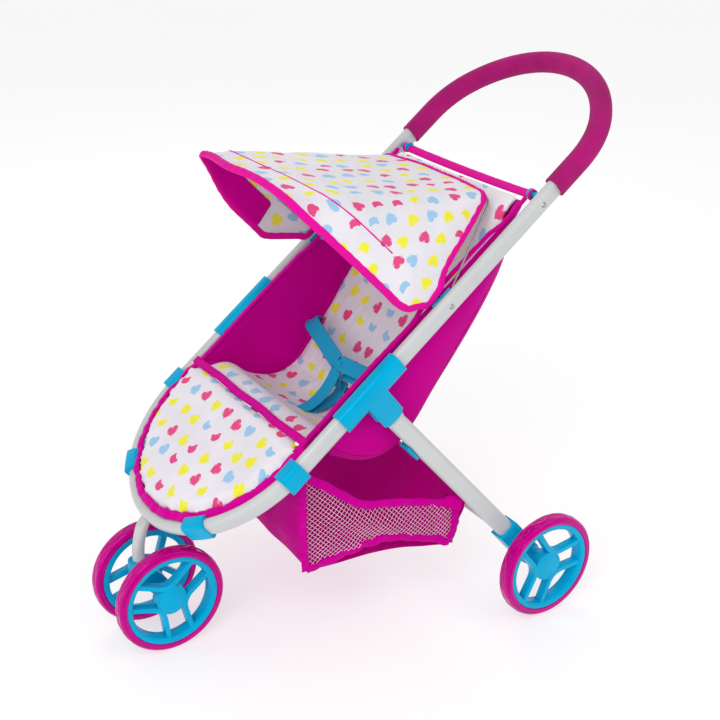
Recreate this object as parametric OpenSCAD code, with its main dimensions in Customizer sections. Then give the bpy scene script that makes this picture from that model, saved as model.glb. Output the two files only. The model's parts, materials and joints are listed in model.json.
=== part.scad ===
// Three-wheeled folding doll stroller: white flat-oval tube frame, sewn seat, canopy and basket.
// Lengths are in millimetres. The parts are laid out from the front axle (y = 0) and the floor
// (z = 0), with +Y to the rear and +X to the doll's left. place() then moves them to the part's
// origin, which is on the floor in the middle of the stroller's length and width.

/* [Wheels] */
// Outer diameter of every wheel
wheel_d = 120; // [112:1:120]
// Width of a wheel across its tyre
wheel_w = 16.5; // [15:0.5:17]
// Distance from the front axle back to the rear axle
wheelbase = 373.8; // [370:0.2:378]
// Distance between the outer faces of the rear wheels
rear_track = 404.8; // [402:0.2:410]
// Distance between the outer faces of the twin front wheels
front_track = 80.2; // [78:0.2:84]
// Distance that the front axle trails behind the swivel axis
caster_trail = 19; // [17:0.5:21]

/* [Frame] */
// Distance between the centre lines of the two side tubes
frame_w = 258; // [254:1:262]
// Slope of the side tubes and handle above the floor, in degrees
tube_slope = 37.8; // [37:0.1:38.6]
// Slope of the half-round front loop above the floor, in degrees
loop_slope = 36.4; // [36:0.1:37]
// Straight length of a side tube, from the front loop to the foam grip
tube_straight = 392; // [388:1:398]
// Reach of the handle arch beyond the start of the grip, along the slope
handle_reach = 148; // [144:1:152]
// Radius of the handle's two side bends
handle_side_r = 93; // [90:1:96]
// Height of the side tubes' centre line where the front loop begins
elbow_z = 224.6; // [223:0.2:227]
// Distance of that place behind the front axle
elbow_y = 100.2; // [99:0.2:102]

/* [Tube sections] */
// Wide side of the flat-oval tube
oval_h = 20; // [19:0.5:20]
// Narrow side of the flat-oval tube
oval_w = 12; // [11:0.5:12]
// Diameter of the round front bow
bow_d = 14; // [13:0.5:14]
// Outer diameter of the foam grip
grip_d = 23.5; // [22.5:0.5:25]
// Wall of the metal tubes
tube_wall = 1.2; // [1:0.1:1.5]

/* [Rear legs] */
// Place of the tee housings along the side tube, from the front loop
tee_s = 108; // [106:1:110]
// Distance of the leg hinge below the side tube's centre line
hinge_drop = 34; // [33:0.5:35]
// Distance of the leg's centre line from the middle of the stroller, at its hinge
leg_x = 130; // [129.6:0.1:130.2]
// Distance of the leg's centre line from the middle of the stroller, at the cross tube
foot_x = 160; // [158:1:161]
// Distance from the leg hinge down to the cross tube
cross_r = 222.4; // [222:0.2:223]

/* [Seat and canopy] */
// Half the width of the seat between its side walls
seat_half = 113; // [111:0.5:113.5]
// Place of the canopy pivots along the side tube, from the front loop
canopy_s = 226; // [222:1:230]
// Angle of the canopy's moving bow above the rear direction, in degrees
bow_angle = 135; // [132:1:138]
// Angle of the canopy's fixed rear bow, in degrees
rear_bow_angle = 47.5; // [46:0.5:50]

/* [Hidden] */
$fn = 96;

white = "#f2f2f0";
cyan = "#00a0d8";
tyre_pink = "#c4007f";
cloth_pink = "#b8007a";
binding_pink = "#ee1ea0";
grip_pink = "#a81868";
steel = "#c9ccd0";

gap = 0.15;                 // clearance between pieces that are fixed to each other
run = 0.06;                 // radial clearance of a turning fit
half_w = frame_w / 2;
wheel_r = wheel_d / 2;
rear_y = elbow_y + (tube_straight + handle_reach) * cos(tube_slope) + grip_d / 2;
mid_y = (rear_y - wheel_r) / 2;

// ---- frames of reference -------------------------------------------------------------------

// from the front axle's layout to the part's origin
module place() translate([0, -mid_y, 0]) children();

// the children and their mirror image on the other side
module both_sides() {
    children();
    mirror([1, 0, 0]) children();
}

// the children on one side: 1 is +X, -1 is -X
module on_side(side) mirror([side > 0 ? 0 : 1, 0, 0]) children();

// plane of the side tubes and handle: Y runs up the slope, Z out of its upper face
module tube_plane() place() translate([0, elbow_y, elbow_z]) rotate([tube_slope, 0, 0]) children();

// plane of the front loop, which leans a little less
module loop_plane() place() translate([0, elbow_y, elbow_z]) rotate([loop_slope, 0, 0]) children();

// a side-view outline in [distance up the tube, depth behind it], drawn w wide about the middle
module side_profile(points, w)
    tube_plane() translate([-w / 2, 0, 0]) rotate([90, 0, 90]) linear_extrude(w)
        polygon([for (p = points) [p[0], -p[1]]]);

// ---- shared shapes -------------------------------------------------------------------------

// flat-oval section, w across and h tall
module oval(w, h) {
    square([w, h - w], center = true);
    for (end = [-1, 1]) translate([0, end * (h - w) / 2]) circle(d = w);
}

// wall of the flat-oval tube
module oval_wall() {
    difference() {
        oval(oval_w, oval_h);
        oval(oval_w - 2 * tube_wall, oval_h - 2 * tube_wall);
    }
}

// rectangle with rounded corners
module rounded(w, h, r) {
    square([w - 2 * r, h], center = true);
    square([w, h - 2 * r], center = true);
    for (i = [-1, 1], j = [-1, 1]) translate([i * (w / 2 - r), j * (h / 2 - r)]) circle(r);
}

// sweeps a section along the sloping plane's Y axis, from y0 to y1
module straight(y0, y1) translate([0, y0, 0]) rotate([-90, 0, 0]) linear_extrude(y1 - y0) children();

// sweeps a section around an arc of radius r in the sloping plane, from angle a0 to a1
module bend(r, a0, a1) rotate([0, 0, a0]) rotate_extrude(angle = a1 - a0) translate([r, 0]) children();

// cylinder along X, from x0 to x1
module rod_x(r, x0, x1) translate([x0, 0, 0]) rotate([0, 90, 0]) cylinder(h = x1 - x0, r = r);

// ring along X
module ring_x(r_out, r_in, x0, x1) difference() {
    rod_x(r_out, x0, x1);
    rod_x(r_in, x0 - 1, x1 + 1);
}

// ---- handle and side tubes -----------------------------------------------------------------

// the arch is two side bends and one crown bend, each tangent to the next
grip_straight = 37;         // straight part of the grip on each side, before the bends
side_bend_y = tube_straight + grip_straight;
bend_x = half_w - handle_side_r;
bend_rise = tube_straight + handle_reach - side_bend_y;
crown_r = (bend_x * bend_x + bend_rise * bend_rise - handle_side_r * handle_side_r)
    / (2 * (bend_rise - handle_side_r));
crown_y = side_bend_y + bend_rise - crown_r;
bend_angle = atan2(side_bend_y - crown_y, bend_x);
crown_lap = 0.5;            // arc by which each half of the tube's crown passes the middle

// sweeps a section along the handle: straight from y0, around the arch and back; half of the
// crown runs from angle a0 to a1, and the other half is its mirror image
module handle_path(y0, a0, a1) {
    both_sides() {
        translate([half_w, 0, 0]) straight(y0, side_bend_y) children();
        translate([bend_x, side_bend_y, 0]) bend(handle_side_r, 0, bend_angle) children();
        translate([0, crown_y, 0]) bend(crown_r, a0, a1) children();
    }
}

module handle_tube() color(white) tube_plane()
    handle_path(0.3, bend_angle, 90 + crown_lap) oval_wall();

module handle_grip() color(grip_pink) tube_plane() handle_path(tube_straight, 90, 180 - bend_angle) difference() {
    circle(d = grip_d);
    oval(oval_w + 2 * gap, oval_h + 2 * gap);
}

// ---- front loop ----------------------------------------------------------------------------

sleeve_angle = 37;          // from the loop's middle to the middle of a front sleeve
sleeve_span = 11.4;         // arc that a front sleeve covers
joint_gap = 0.2;            // half the arc between two tube ends inside a sleeve

module lower_tube(side) color(white) loop_plane() on_side(side)
    bend(half_w, 270 + sleeve_angle + joint_gap, 360) oval_wall();
module lower_tube_left() lower_tube(1);
module lower_tube_right() lower_tube(-1);

// straight sleeve over the joint of a side tube and a lower tube; its bore leaves room for the
// start of the lower tube's bend
module mid_clip(side) color(cyan) tube_plane() on_side(side) translate([half_w - 0.6, 0, 0])
    straight(-17, 8) difference() {
        rounded(17.8, 25.4, 5);
        oval(oval_w + 1.8, oval_h + 1.2);
    }
module mid_clip_left() mid_clip(1);
module mid_clip_right() mid_clip(-1);

module front_sleeve(side) color(cyan) loop_plane() on_side(side) {
    middle = 270 + sleeve_angle;
    difference() {
        bend(half_w, middle - sleeve_span / 2, middle + sleeve_span / 2) rounded(16.6, 24.8, 5);
        bend(half_w, middle, middle + sleeve_span) oval(oval_w + 2 * gap, oval_h + 2 * gap);
        bend(half_w, middle - sleeve_span, middle) circle(d = bow_d + 2 * gap);
    }
}
module front_sleeve_left() front_sleeve(1);
module front_sleeve_right() front_sleeve(-1);

module bow_wall() difference() {
    circle(d = bow_d);
    circle(d = bow_d - 2 * tube_wall);
}
module front_bow() color(white) loop_plane()
    bend(half_w, 270 - sleeve_angle + joint_gap, 270 + sleeve_angle - joint_gap) bow_wall();

// ---- fork tube and swivel stem -------------------------------------------------------------

fork_d = 13;
fork_bore = 10.6;
fork_end_z = 97;            // open lower end of the fork tube
fork_bend_r = 91.4;
fork_straight = 4;

// the fork tube rises from the swivel axis and curves back to the middle of the front bow
module fork_tube() color(white) difference() {
    place() translate([0, -caster_trail, fork_end_z]) {
        cylinder(h = fork_straight, d = fork_d);
        translate([0, fork_bend_r, fork_straight]) rotate([90, 0, -90])
            rotate_extrude(angle = 32) translate([fork_bend_r, 0]) circle(d = fork_d);
    }
    place() translate([0, -caster_trail, fork_end_z - 1]) cylinder(h = 13, d = fork_bore);
    loop_plane() bend(half_w, 262, 278) circle(d = bow_d + 0.1);
    loop_plane() translate([0, -half_w, 20]) cube([40, 60, 40], center = true);
}

stem_r = 4;
stem_bottom = 68.6;
module caster_stem() color(steel) place() translate([0, -caster_trail, 0]) {
    translate([0, 0, stem_bottom]) cylinder(h = fork_end_z + 8 - stem_bottom, r = stem_r);
    translate([0, 0, fork_end_z - 0.1]) cylinder(h = 8, r = fork_bore / 2 - gap);
}
module stem_clip() color(steel) place() translate([0, -caster_trail, stem_bottom + 0.6]) difference() {
    cylinder(h = 1.2, r = 7);
    translate([0, 0, -1]) cylinder(h = 4, r = stem_r + 0.03);
}

// ---- caster block and front axle -----------------------------------------------------------

block_top = fork_end_z - 0.4;
axle_r = 3;
front_inner = front_track / 2 - wheel_w;

module caster_block() color(cyan) place() difference() {
    union() {
        translate([0, -caster_trail, 66]) cylinder(h = block_top - 66, r = 11.5);
        translate([0, 0, wheel_r]) rod_x(10.5, 0.8 - front_inner, front_inner - 0.8);
        translate([-9, 0, 0]) rotate([90, 0, 90]) linear_extrude(18)
            polygon([[-caster_trail, 66], [-caster_trail, 88], [-6, 86], [9, 66], [9, 56], [-6, 52]]);
    }
    translate([0, -caster_trail, 60]) cylinder(h = 50, r = stem_r + run);
    translate([0, -caster_trail, 50]) cylinder(h = 21.4, r = 8);
    translate([0, 0, wheel_r]) rod_x(axle_r + run, -40, 40);
}

axle_out = 4;               // from the wheel's outer face in to the axle's end
module front_axle() color(steel) place() translate([0, 0, wheel_r])
    rod_x(axle_r, axle_out - front_track / 2, front_track / 2 - axle_out);

module axle_clip(outer) ring_x(6, axle_r + 0.03, outer - 5.6, outer - 4.4);
module front_axle_clips() color(steel) place() translate([0, 0, wheel_r])
    both_sides() axle_clip(front_track / 2);

// ---- tee housings and rear legs ------------------------------------------------------------

tee_len = 85;
tee_w = 18;                 // width of the sleeve around the side tube
tee_in = 121.2;             // inner and outer face of the branch that holds the leg
tee_out = 138.3;
slot_w = 13.2;
hinge_r = 2.5;
eye_w = 11;

// outline of the branch in the sloping plane's [Y, Z]
branch = [
    [tee_s - 13.5, -3], [tee_s - 13.5, -38.5], [tee_s - 8.5, -43],
    [tee_s + 8.5, -43], [tee_s + 13.5, -38.5], [tee_s + 13.5, -3]];

module tee_housing(side) color(cyan) tube_plane() on_side(side) difference() {
    union() {
        translate([half_w + 0.5, 0, 0]) straight(tee_s - tee_len / 2, tee_s + tee_len / 2)
            rounded(tee_w, 24.4, 8);
        translate([tee_in, 0, 0]) rotate([90, 0, 90]) linear_extrude(tee_out - tee_in) polygon(branch);
    }
    translate([half_w, 0, 0]) straight(0, 200) oval(oval_w + 2 * gap, oval_h + 2 * gap);
    // slot for the leg, open below and in front; its rear wall is the leg's stop
    translate([leg_x - slot_w / 2, tee_s - 40, -60]) cube([slot_w, 40 + 10.8, 37]);
    // blind hole for the hinge pin, open on the inner face
    translate([0, tee_s, -hinge_drop]) rod_x(hinge_r + 0.02, tee_in - 1, tee_out - 0.8);
}
module tee_housing_left() tee_housing(1);
module tee_housing_right() tee_housing(-1);

module leg_hinge_pins() color(steel) tube_plane() both_sides() translate([0, tee_s, -hinge_drop])
    rod_x(hinge_r, tee_in + 0.2, tee_out - 1);

// the hinge in the stroller's own directions, and the leg's lean from vertical
hinge_y = elbow_y + tee_s * cos(tube_slope) + hinge_drop * sin(tube_slope);
hinge_z = elbow_z + tee_s * sin(tube_slope) - hinge_drop * cos(tube_slope);
leg_lean = atan2(wheelbase - hinge_y, hinge_z - wheel_r);
axle_dist = norm([wheelbase - hinge_y, hinge_z - wheel_r]);
eye_end = 14;
leg_splay = atan2(foot_x - leg_x, cross_r - eye_end);
leg_end = 228;

// frame of a leg: origin on the hinge axis, -Z down the leg, +X outward on the left leg
module leg_frame() place() translate([0, hinge_y, hinge_z]) rotate([leg_lean, 0, 0]) children();

// sweeps a section down the splayed leg, between two distances from the hinge
module down_leg(r0, r1) translate([leg_x, 0, -eye_end]) rotate([0, -leg_splay, 0])
    translate([0, 0, eye_end - r1]) linear_extrude(r1 - r0) children();

module rear_leg(side) color(white) leg_frame() on_side(side) difference() {
    union() {
        down_leg(eye_end - 1, leg_end) oval(oval_w, oval_h);
        translate([leg_x - eye_w / 2, -10, -eye_end]) cube([eye_w, 20, eye_end]);
        rod_x(10, leg_x - eye_w / 2, leg_x + eye_w / 2);
    }
    down_leg(20, leg_end + 1) oval(oval_w - 2 * tube_wall, oval_h - 2 * tube_wall);
    rod_x(hinge_r + run, leg_x - 20, leg_x + 20);
}
module rear_leg_left() rear_leg(1);
module rear_leg_right() rear_leg(-1);

foot_in = foot_x - 11.5;
foot_out = foot_x + 8.5;
boss_out = rear_track / 2 - wheel_w - 1;
cross_d = 12;
cross_end = foot_in + 3.5;
foot_top = 214;             // upper end of a foot, from the leg hinge

module foot(side) color(cyan) leg_frame() on_side(side) difference() {
    union() {
        translate([foot_in, -12.5, -axle_dist]) cube([foot_out - foot_in, 25, axle_dist - foot_top]);
        translate([0, 0, -axle_dist]) rod_x(12.5, foot_in, foot_out);
        translate([0, 0, -axle_dist]) rod_x(11, foot_out - 1, boss_out);
    }
    down_leg(190, leg_end + 0.4) oval(oval_w + 2 * gap, oval_h + 2 * gap);
    translate([0, 0, -cross_r]) rod_x(cross_d / 2 + 0.1, foot_in - 1, cross_end + 0.2);
    translate([0, 0, -axle_dist]) rod_x(axle_r + 0.03, foot_in - 1, boss_out + 1);
}
module foot_left() foot(1);
module foot_right() foot(-1);

module rear_cross_tube() color(white) leg_frame() translate([0, 0, -cross_r])
    ring_x(cross_d / 2, cross_d / 2 - tube_wall, -cross_end, cross_end);

module rear_axles() color(steel) leg_frame() translate([0, 0, -axle_dist]) both_sides()
    rod_x(axle_r, foot_in + 2, rear_track / 2 - axle_out);

module rear_axle_clips() color(steel) leg_frame() translate([0, 0, -axle_dist]) both_sides()
    axle_clip(rear_track / 2);

// snap clips on the front inner edge of the legs, which hold the basket's upper rear corners
module basket_clips() color(cyan) leg_frame() both_sides() {
    translate([125.3, -14, -66]) cube([3, 16, 20]);
    translate([125.3, -14, -66]) cube([15, 3.4, 20]);
}

// ---- wheels --------------------------------------------------------------------------------

rim_r = 51;                 // joint between rim and tyre
ring_r = 43.5;              // inner edge of the rim's ring
hub_r = 16;
rib_w = 6;

// tyre section: flat sides with rounded shoulders
module tyre(outer) color(tyre_pink) translate([outer - wheel_w / 2, 0, 0]) rotate([0, 90, 0])
    rotate_extrude() translate([(rim_r + gap + wheel_r) / 2, 0])
        rounded(wheel_r - rim_r - gap, wheel_w, 3.6);

// one bent rib: its bend rests on the hub and its two arms run out to the ring
rib_turn = 57;              // angle of each arm from the rib's middle line
arm = 35;
module rib() let (c = cos(rib_turn), s = sin(rib_turn), h = rib_w / 2) translate([hub_r + 1, 0])
    polygon([[-h / s, 0], [arm * c - h * s, arm * s + h * c], [arm * c + h * s, arm * s - h * c],
        [h / s, 0], [arm * c + h * s, h * c - arm * s], [arm * c - h * s, -arm * s - h * c]]);

module rim(outer) color(cyan) translate([outer, 0, 0]) rotate([0, -90, 0]) difference() {
    union() {
        translate([0, 0, 1]) linear_extrude(wheel_w - 2) difference() {
            circle(rim_r);
            circle(ring_r);
        }
        translate([0, 0, 2.9]) cylinder(h = wheel_w - 3.3, r = hub_r);
        translate([0, 0, 2.4]) linear_extrude(8) for (k = [0:2]) rotate([0, 0, 120 * k]) rib();
    }
    translate([0, 0, -1]) cylinder(h = wheel_w + 2, r = axle_r + run);
    translate([0, 0, -1]) cylinder(h = 8.4, r = 13);
    // seat of the cap, cut out of the hub's face and the ribs' ends
    translate([0, 0, -1]) cylinder(h = 4.1, r = hub_r + gap);
}

// snap-in cover of the axle's end
module cap(outer) color(cyan) {
    rod_x(hub_r, outer - 3, outer - 1);
    ring_x(12.9, 11.4, outer - 6.4, outer - 2.9);
}

module front_wheel(side) place() translate([0, 0, wheel_r]) on_side(side) children();
module rear_wheel(side) place() translate([0, wheelbase, wheel_r]) on_side(side) children();

module front_tyre_left() front_wheel(1) tyre(front_track / 2);
module front_rim_left() front_wheel(1) rim(front_track / 2);
module front_cap_left() front_wheel(1) cap(front_track / 2);
module front_tyre_right() front_wheel(-1) tyre(front_track / 2);
module front_rim_right() front_wheel(-1) rim(front_track / 2);
module front_cap_right() front_wheel(-1) cap(front_track / 2);
module rear_tyre_left() rear_wheel(1) tyre(rear_track / 2);
module rear_rim_left() rear_wheel(1) rim(rear_track / 2);
module rear_cap_left() rear_wheel(1) cap(rear_track / 2);
module rear_tyre_right() rear_wheel(-1) tyre(rear_track / 2);
module rear_rim_right() rear_wheel(-1) rim(rear_track / 2);
module rear_cap_right() rear_wheel(-1) cap(rear_track / 2);

// ---- rivets and hooks ----------------------------------------------------------------------

hook_s = 375;
module frame_rivets() color(steel) tube_plane() both_sides() for (s = [canopy_s + 1, 369])
    translate([half_w + oval_w / 2, s, 0]) rotate([0, 90, 0]) cylinder(h = 1.2, r1 = 3, r2 = 2.2);

// knob on the inner face of each side tube, with a groove for the strap's loop
module strap_hooks() color(cyan) tube_plane() both_sides() translate([0, hook_s, 2]) {
    rod_x(3, 112, half_w - oval_w / 2 - 0.1);
    rod_x(5.5, 108.5, 112.1);
}

// ---- seat ----------------------------------------------------------------------------------

cloth = 1.6;
// side view of the seat sling, front edge to top edge, in [distance up the tube, depth]
sling = [[30, -7], [42, 14], [47, 34], [56, 55], [68, 72], [84, 83], [104, 87], [128, 83],
    [152, 76], [180, 68], [210, 59], [240, 50], [268, 41], [296, 29], [320, 14], [342, -4]];

// the sling's inner face: each point moved towards the inside of the seat
function sling_inner(i) = let (
    a = sling[max(i - 1, 0)],
    b = sling[min(i + 1, len(sling) - 1)],
    t = (b - a) / norm(b - a)) sling[i] + 2 * [t[1], -t[0]];

module seat_liner() color("white") side_profile(concat(sling,
    [for (i = [len(sling) - 1:-1:0]) sling_inner(i)]), 2 * (seat_half - cloth - gap));

module seat_side(side) color(cloth_pink) on_side(side) translate([seat_half - cloth / 2, 0, 0])
    side_profile(sling, cloth);
module seat_side_left() seat_side(1);
module seat_side_right() seat_side(-1);

// padded panel inside the front loop
footrest_r = 118;
module footrest() color("white") loop_plane() translate([0, 0, 5]) linear_extrude(3) intersection() {
    union() {
        circle(footrest_r);
        translate([-footrest_r, 0]) square([2 * footrest_r, 26]);
    }
    translate([-150, -150]) square([300, 176]);
}

// band across the top of the seat, looped over the two hooks
module top_strap() color(binding_pink) tube_plane() translate([-108, hook_s - 5, 1.2])
    cube([216, 10, 1.6]);

// ---- harness -------------------------------------------------------------------------------

// corner of a strap: [x, distance up the tube, depth]
module strap_end(p, w) translate([p[0], p[1], -p[2]]) rotate([0, 90, 0])
    cylinder(h = w, d = 1.6, center = true, $fn = 16);
module strap_run(a, b, w) hull() {
    strap_end(a, w);
    strap_end(b, w);
}

crotch = [0, 58, 51];
junction = [0, 126, 50];
buckle_end = [0, 113, 80];
module harness_straps() color(cyan) tube_plane() {
    strap_run(crotch, junction, 15);
    strap_run(crotch, buckle_end, 15);
    both_sides() hull() {
        translate([8, 126, -50]) rotate([-30, 0, 0]) cube([1.6, 14, 1.6], center = true);
        translate([seat_half - 4, 152, -66]) rotate([-30, 0, 0]) cube([1.6, 14, 1.6], center = true);
    }
}

module harness_buckle() color(white) tube_plane() translate([0, 121, -66]) rotate([-28, 0, 0])
    difference() {
        cube([22, 4, 26], center = true);
        cube([17, 6, 20], center = true);
    }

// ---- canopy --------------------------------------------------------------------------------

wire_r = 1.2;
front_wire_x = 117.4;
rear_wire_x = 121.3;
roof_x = 120;               // outer face of the canopy cloth's side
pin_y = elbow_y + canopy_s * cos(tube_slope);
pin_z = elbow_z + canopy_s * sin(tube_slope) + 3;

// frame of the canopy: X is the pivot axis; a point at radius r and angle a from the rear
module canopy_frame() place() translate([0, pin_y, pin_z]) children();
// the sloping plane at angle a about the pivots, Y running out from them
module canopy_plane(a) canopy_frame() rotate([a, 0, 0]) children();

module canopy_pivot(side) color(cyan) canopy_frame() on_side(side) {
    rotate([tube_slope, 0, 0]) translate([121.5, 0, -1]) cube([2.6, 26, 13], center = true);
    rod_x(2, front_wire_x - 2, 121);
    rod_x(3.4, front_wire_x - 3, front_wire_x - 1.6);
}
module canopy_pivot_left() canopy_pivot(1);
module canopy_pivot_right() canopy_pivot(-1);

// wire bow: two limbs, two corner bends and a flat crown
module wire_bow(x, crown, corner) {
    both_sides() {
        translate([x, 0, 0]) straight(6, crown - corner) circle(wire_r, $fn = 24);
        translate([x - corner, crown - corner, 0]) bend(corner, 0, 90) circle(wire_r, $fn = 24);
    }
    translate([corner - x, crown, 0]) rotate([0, 90, 0]) linear_extrude(2 * (x - corner))
        circle(wire_r, $fn = 24);
}

front_crown = 176;
rear_crown = 121;
module canopy_front_bow() color(steel) canopy_plane(bow_angle) {
    wire_bow(front_wire_x, front_crown - 6, 40);
    both_sides() {
        ring_x(4.6, 2 + run, front_wire_x - wire_r, front_wire_x + wire_r);
        translate([front_wire_x, 5.2, 0]) cube([2 * wire_r, 3.6, 2 * wire_r], center = true);
    }
}

// the rear bow's limbs lean inward, because the rear edge of the roof is narrower
rear_lean = atan2(7, 24);
rear_limb = 93.75;
rear_corner = 15;
crown_half = rear_wire_x - rear_limb * sin(rear_lean) - rear_corner * cos(rear_lean);
module canopy_rear_bow() color(steel) canopy_plane(rear_bow_angle) {
    both_sides() translate([rear_wire_x, 16, 0]) rotate([0, 0, rear_lean]) {
        straight(0, rear_limb + 0.4) circle(wire_r - 0.06, $fn = 24);
        translate([-rear_corner, rear_limb, 0]) bend(rear_corner, 0, 90 - rear_lean)
            circle(wire_r, $fn = 24);
    }
    translate([0, 16 + rear_limb * cos(rear_lean) + rear_corner * (1 - sin(rear_lean)), 0])
        rod_x(wire_r - 0.06, -crown_half - 0.4, crown_half + 0.4);
}

// Half outline of an arch of the canopy, from a side up to the middle, as [x, r] points:
// a limb that leans in from foot_half to top_half, a quarter-round corner and a slightly raised crown.
limb_steps = 6;
corner_steps = 6;
crown_steps = 4;
limb_start = 18;
function half_arch(foot_half, top_half, corner_r, limb_top, crown) = concat(
    [for (i = [0:limb_steps]) let (f = i / limb_steps)
        [foot_half + (top_half - foot_half) * f, limb_start + (limb_top - limb_start) * f]],
    [for (i = [1:corner_steps]) let (q = 90 * i / corner_steps)
        [top_half - corner_r * (1 - cos(q)), limb_top + (crown - 3 - limb_top) * sin(q)]],
    [for (i = [1:crown_steps]) let (f = i / crown_steps)
        [(top_half - corner_r) * (1 - f), crown - 3 + 3 * sin(90 * f)]]);

// whole arch, left to right
function arch(half) = concat(half, [for (i = [len(half) - 2:-1:0]) [-half[i][0], half[i][1]]]);

rear_arch = arch(half_arch(roof_x, 95, 14, 104, rear_crown));
bow_arch = arch(half_arch(roof_x, roof_x, 32, 132, front_crown));
rim_arch = arch(half_arch(roof_x, roof_x, 18, 182, 203));

// angle of the front rim at radius r: its sides follow a straight line that passes below the pivots
rim_line = 133.9;
rim_offset = 37;
rim_low = 175;
function rim_angle(r) = min(rim_low, rim_line + asin(min(1, rim_offset / r)));

// an arch point [x, r] at angle a from the rear, moved inward by inset
function polar(p, a, inset) = let (r = p[1] - inset)
    [p[0] - sign(p[0]) * min(inset, abs(p[0])), r * cos(a), r * sin(a)];

// rows of straight cloth stretched between two edges
function stretched(edge_a, edge_b, rows) = [for (i = [0:rows])
    [for (j = [0:len(edge_a) - 1]) edge_a[j] * (1 - i / rows) + edge_b[j] * i / rows]];

// closed shell between rows of points: the outer rows, then the same rows moved inward
module shell(outer, inner) {
    rows = len(outer);
    cols = len(outer[0]);
    size = rows * cols;
    points = concat([for (row = outer) each row], [for (row = inner) each row]);
    faces = concat(
        [for (i = [0:rows - 2], j = [0:cols - 2]) each let (k = i * cols + j)
            [[k, k + 1, k + cols], [k + 1, k + cols + 1, k + cols]]],
        [for (i = [0:rows - 2], j = [0:cols - 2]) each let (k = size + i * cols + j)
            [[k, k + cols, k + 1], [k + 1, k + cols, k + cols + 1]]],
        [for (j = [0:cols - 2]) each [[j, j + size, j + 1], [j + 1, j + size, j + 1 + size]]],
        [for (j = [0:cols - 2]) each let (k = (rows - 1) * cols + j)
            [[k, k + 1, k + size], [k + 1, k + 1 + size, k + size]]],
        [for (i = [0:rows - 2]) each let (k = i * cols)
            [[k, k + cols, k + size], [k + cols, k + cols + size, k + size]]],
        [for (i = [0:rows - 2]) each let (k = i * cols + cols - 1)
            [[k, k + size, k + cols], [k + cols, k + size, k + cols + size]]]);
    polyhedron(points, faces, convexity = 6);
}

cloth_t = 1.2;
function rear_edge(inset) = [for (p = rear_arch) polar(p, rear_bow_angle + 4.5, inset)];
function bow_edge(inset, a) = [for (p = bow_arch) polar(p, a, inset)];
function rim_edge(inset) = [for (p = rim_arch) polar(p, rim_angle(p[1]), inset)];

// the roof between the rear bow and the moving bow
module canopy_roof() color("white") canopy_frame() shell(
    stretched(rear_edge(0), bow_edge(0, bow_angle - 1), 5),
    stretched(rear_edge(cloth_t), bow_edge(cloth_t, bow_angle - 1), 5));

// the visor between the moving bow and the front rim
module canopy_visor() color("white") canopy_frame() shell(
    stretched(bow_edge(0, bow_angle), rim_edge(0), 4),
    stretched(bow_edge(cloth_t, bow_angle), rim_edge(cloth_t), 4));

// ---- basket --------------------------------------------------------------------------------

basket_y0 = 114;
basket_y1 = 292;
basket_x0 = 117;            // half width at the front wall
basket_x1 = 139;            // half width at the rear wall
basket_z = 98;
basket_t = 2;
side_turn = atan2(basket_x1 - basket_x0, basket_y1 - basket_y0);

// a wall drawn in side view, [y, z], and turned outward towards the rear
module basket_side(side) color(cloth_pink) place() on_side(side)
    translate([basket_x0, basket_y0, 0]) rotate([0, 0, -side_turn]) rotate([90, 0, 90])
        linear_extrude(basket_t) polygon([[0, basket_z], [182, basket_z - 4], [182, 140],
            [92, 160], [60, 166], [0, 213]]);
module basket_side_left() basket_side(1);
module basket_side_right() basket_side(-1);

module basket_front() color(cloth_pink) place() translate([-basket_x0, basket_y0 - basket_t - gap, basket_z])
    cube([2 * basket_x0, basket_t, 213 - basket_z]);

// outline of the rear wall seen from behind, narrow above the floor's corners so that the legs pass
rear_x = basket_x1 - 2;
rear_top_x = 120;
rear_outline = [
    [-rear_x, basket_z], [rear_x, basket_z], [rear_x, 132], [rear_top_x, 142], [rear_top_x, 206],
    [-rear_top_x, 206], [-rear_top_x, 142], [-rear_x, 132]];

module basket_rear() color(cloth_pink) place() intersection() {
    translate([-1, 0, 0]) rotate([90, 0, 90])
        translate([0, 0, -basket_x1 + 2]) linear_extrude(2 * basket_x1 - 2)
            polygon([[basket_y1, basket_z - 1], [basket_y1 + 2, basket_z - 1], [basket_y1 + 2, 140],
                [239, 207], [237, 207], [basket_y1, 140]]);
    translate([0, basket_y1 + 5, 0]) rotate([90, 0, 0]) linear_extrude(80) polygon(rear_outline);
}

// floor, as wide as the walls stand apart
module basket_floor() color(cloth_pink) place() translate([0, 0, basket_z + 0.2]) linear_extrude(basket_t)
    polygon([for (side = [-1, 1], end = (side > 0 ? [0, 1] : [1, 0]))
        [side * (end > 0 ? basket_x1 - 1 : basket_x0 - gap), end > 0 ? basket_y1 - gap : basket_y0]]);

// ---- output --------------------------------------------------------------------------------

handle_tube();
handle_grip();
lower_tube_left();
lower_tube_right();
mid_clip_left();
mid_clip_right();
tee_housing_left();
tee_housing_right();
leg_hinge_pins();
front_sleeve_left();
front_sleeve_right();
front_bow();
fork_tube();
caster_stem();
stem_clip();
frame_rivets();
strap_hooks();
seat_side_left();
seat_side_right();
seat_liner();
footrest();
top_strap();
harness_straps();
harness_buckle();
canopy_pivot_left();
canopy_pivot_right();
canopy_rear_bow();
canopy_roof();
canopy_front_bow();
canopy_visor();
basket_front();
basket_rear();
basket_side_left();
basket_side_right();
basket_floor();
rear_leg_left();
rear_leg_right();
foot_left();
foot_right();
rear_cross_tube();
rear_axles();
rear_axle_clips();
basket_clips();
caster_block();
front_axle();
front_axle_clips();
front_tyre_left();
front_rim_left();
front_cap_left();
front_tyre_right();
front_rim_right();
front_cap_right();
rear_tyre_left();
rear_rim_left();
rear_cap_left();
rear_tyre_right();
rear_rim_right();
rear_cap_right();
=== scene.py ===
import json
import math

import bmesh
import bpy
import numpy as np
from mathutils import Matrix, Vector, noise


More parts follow.
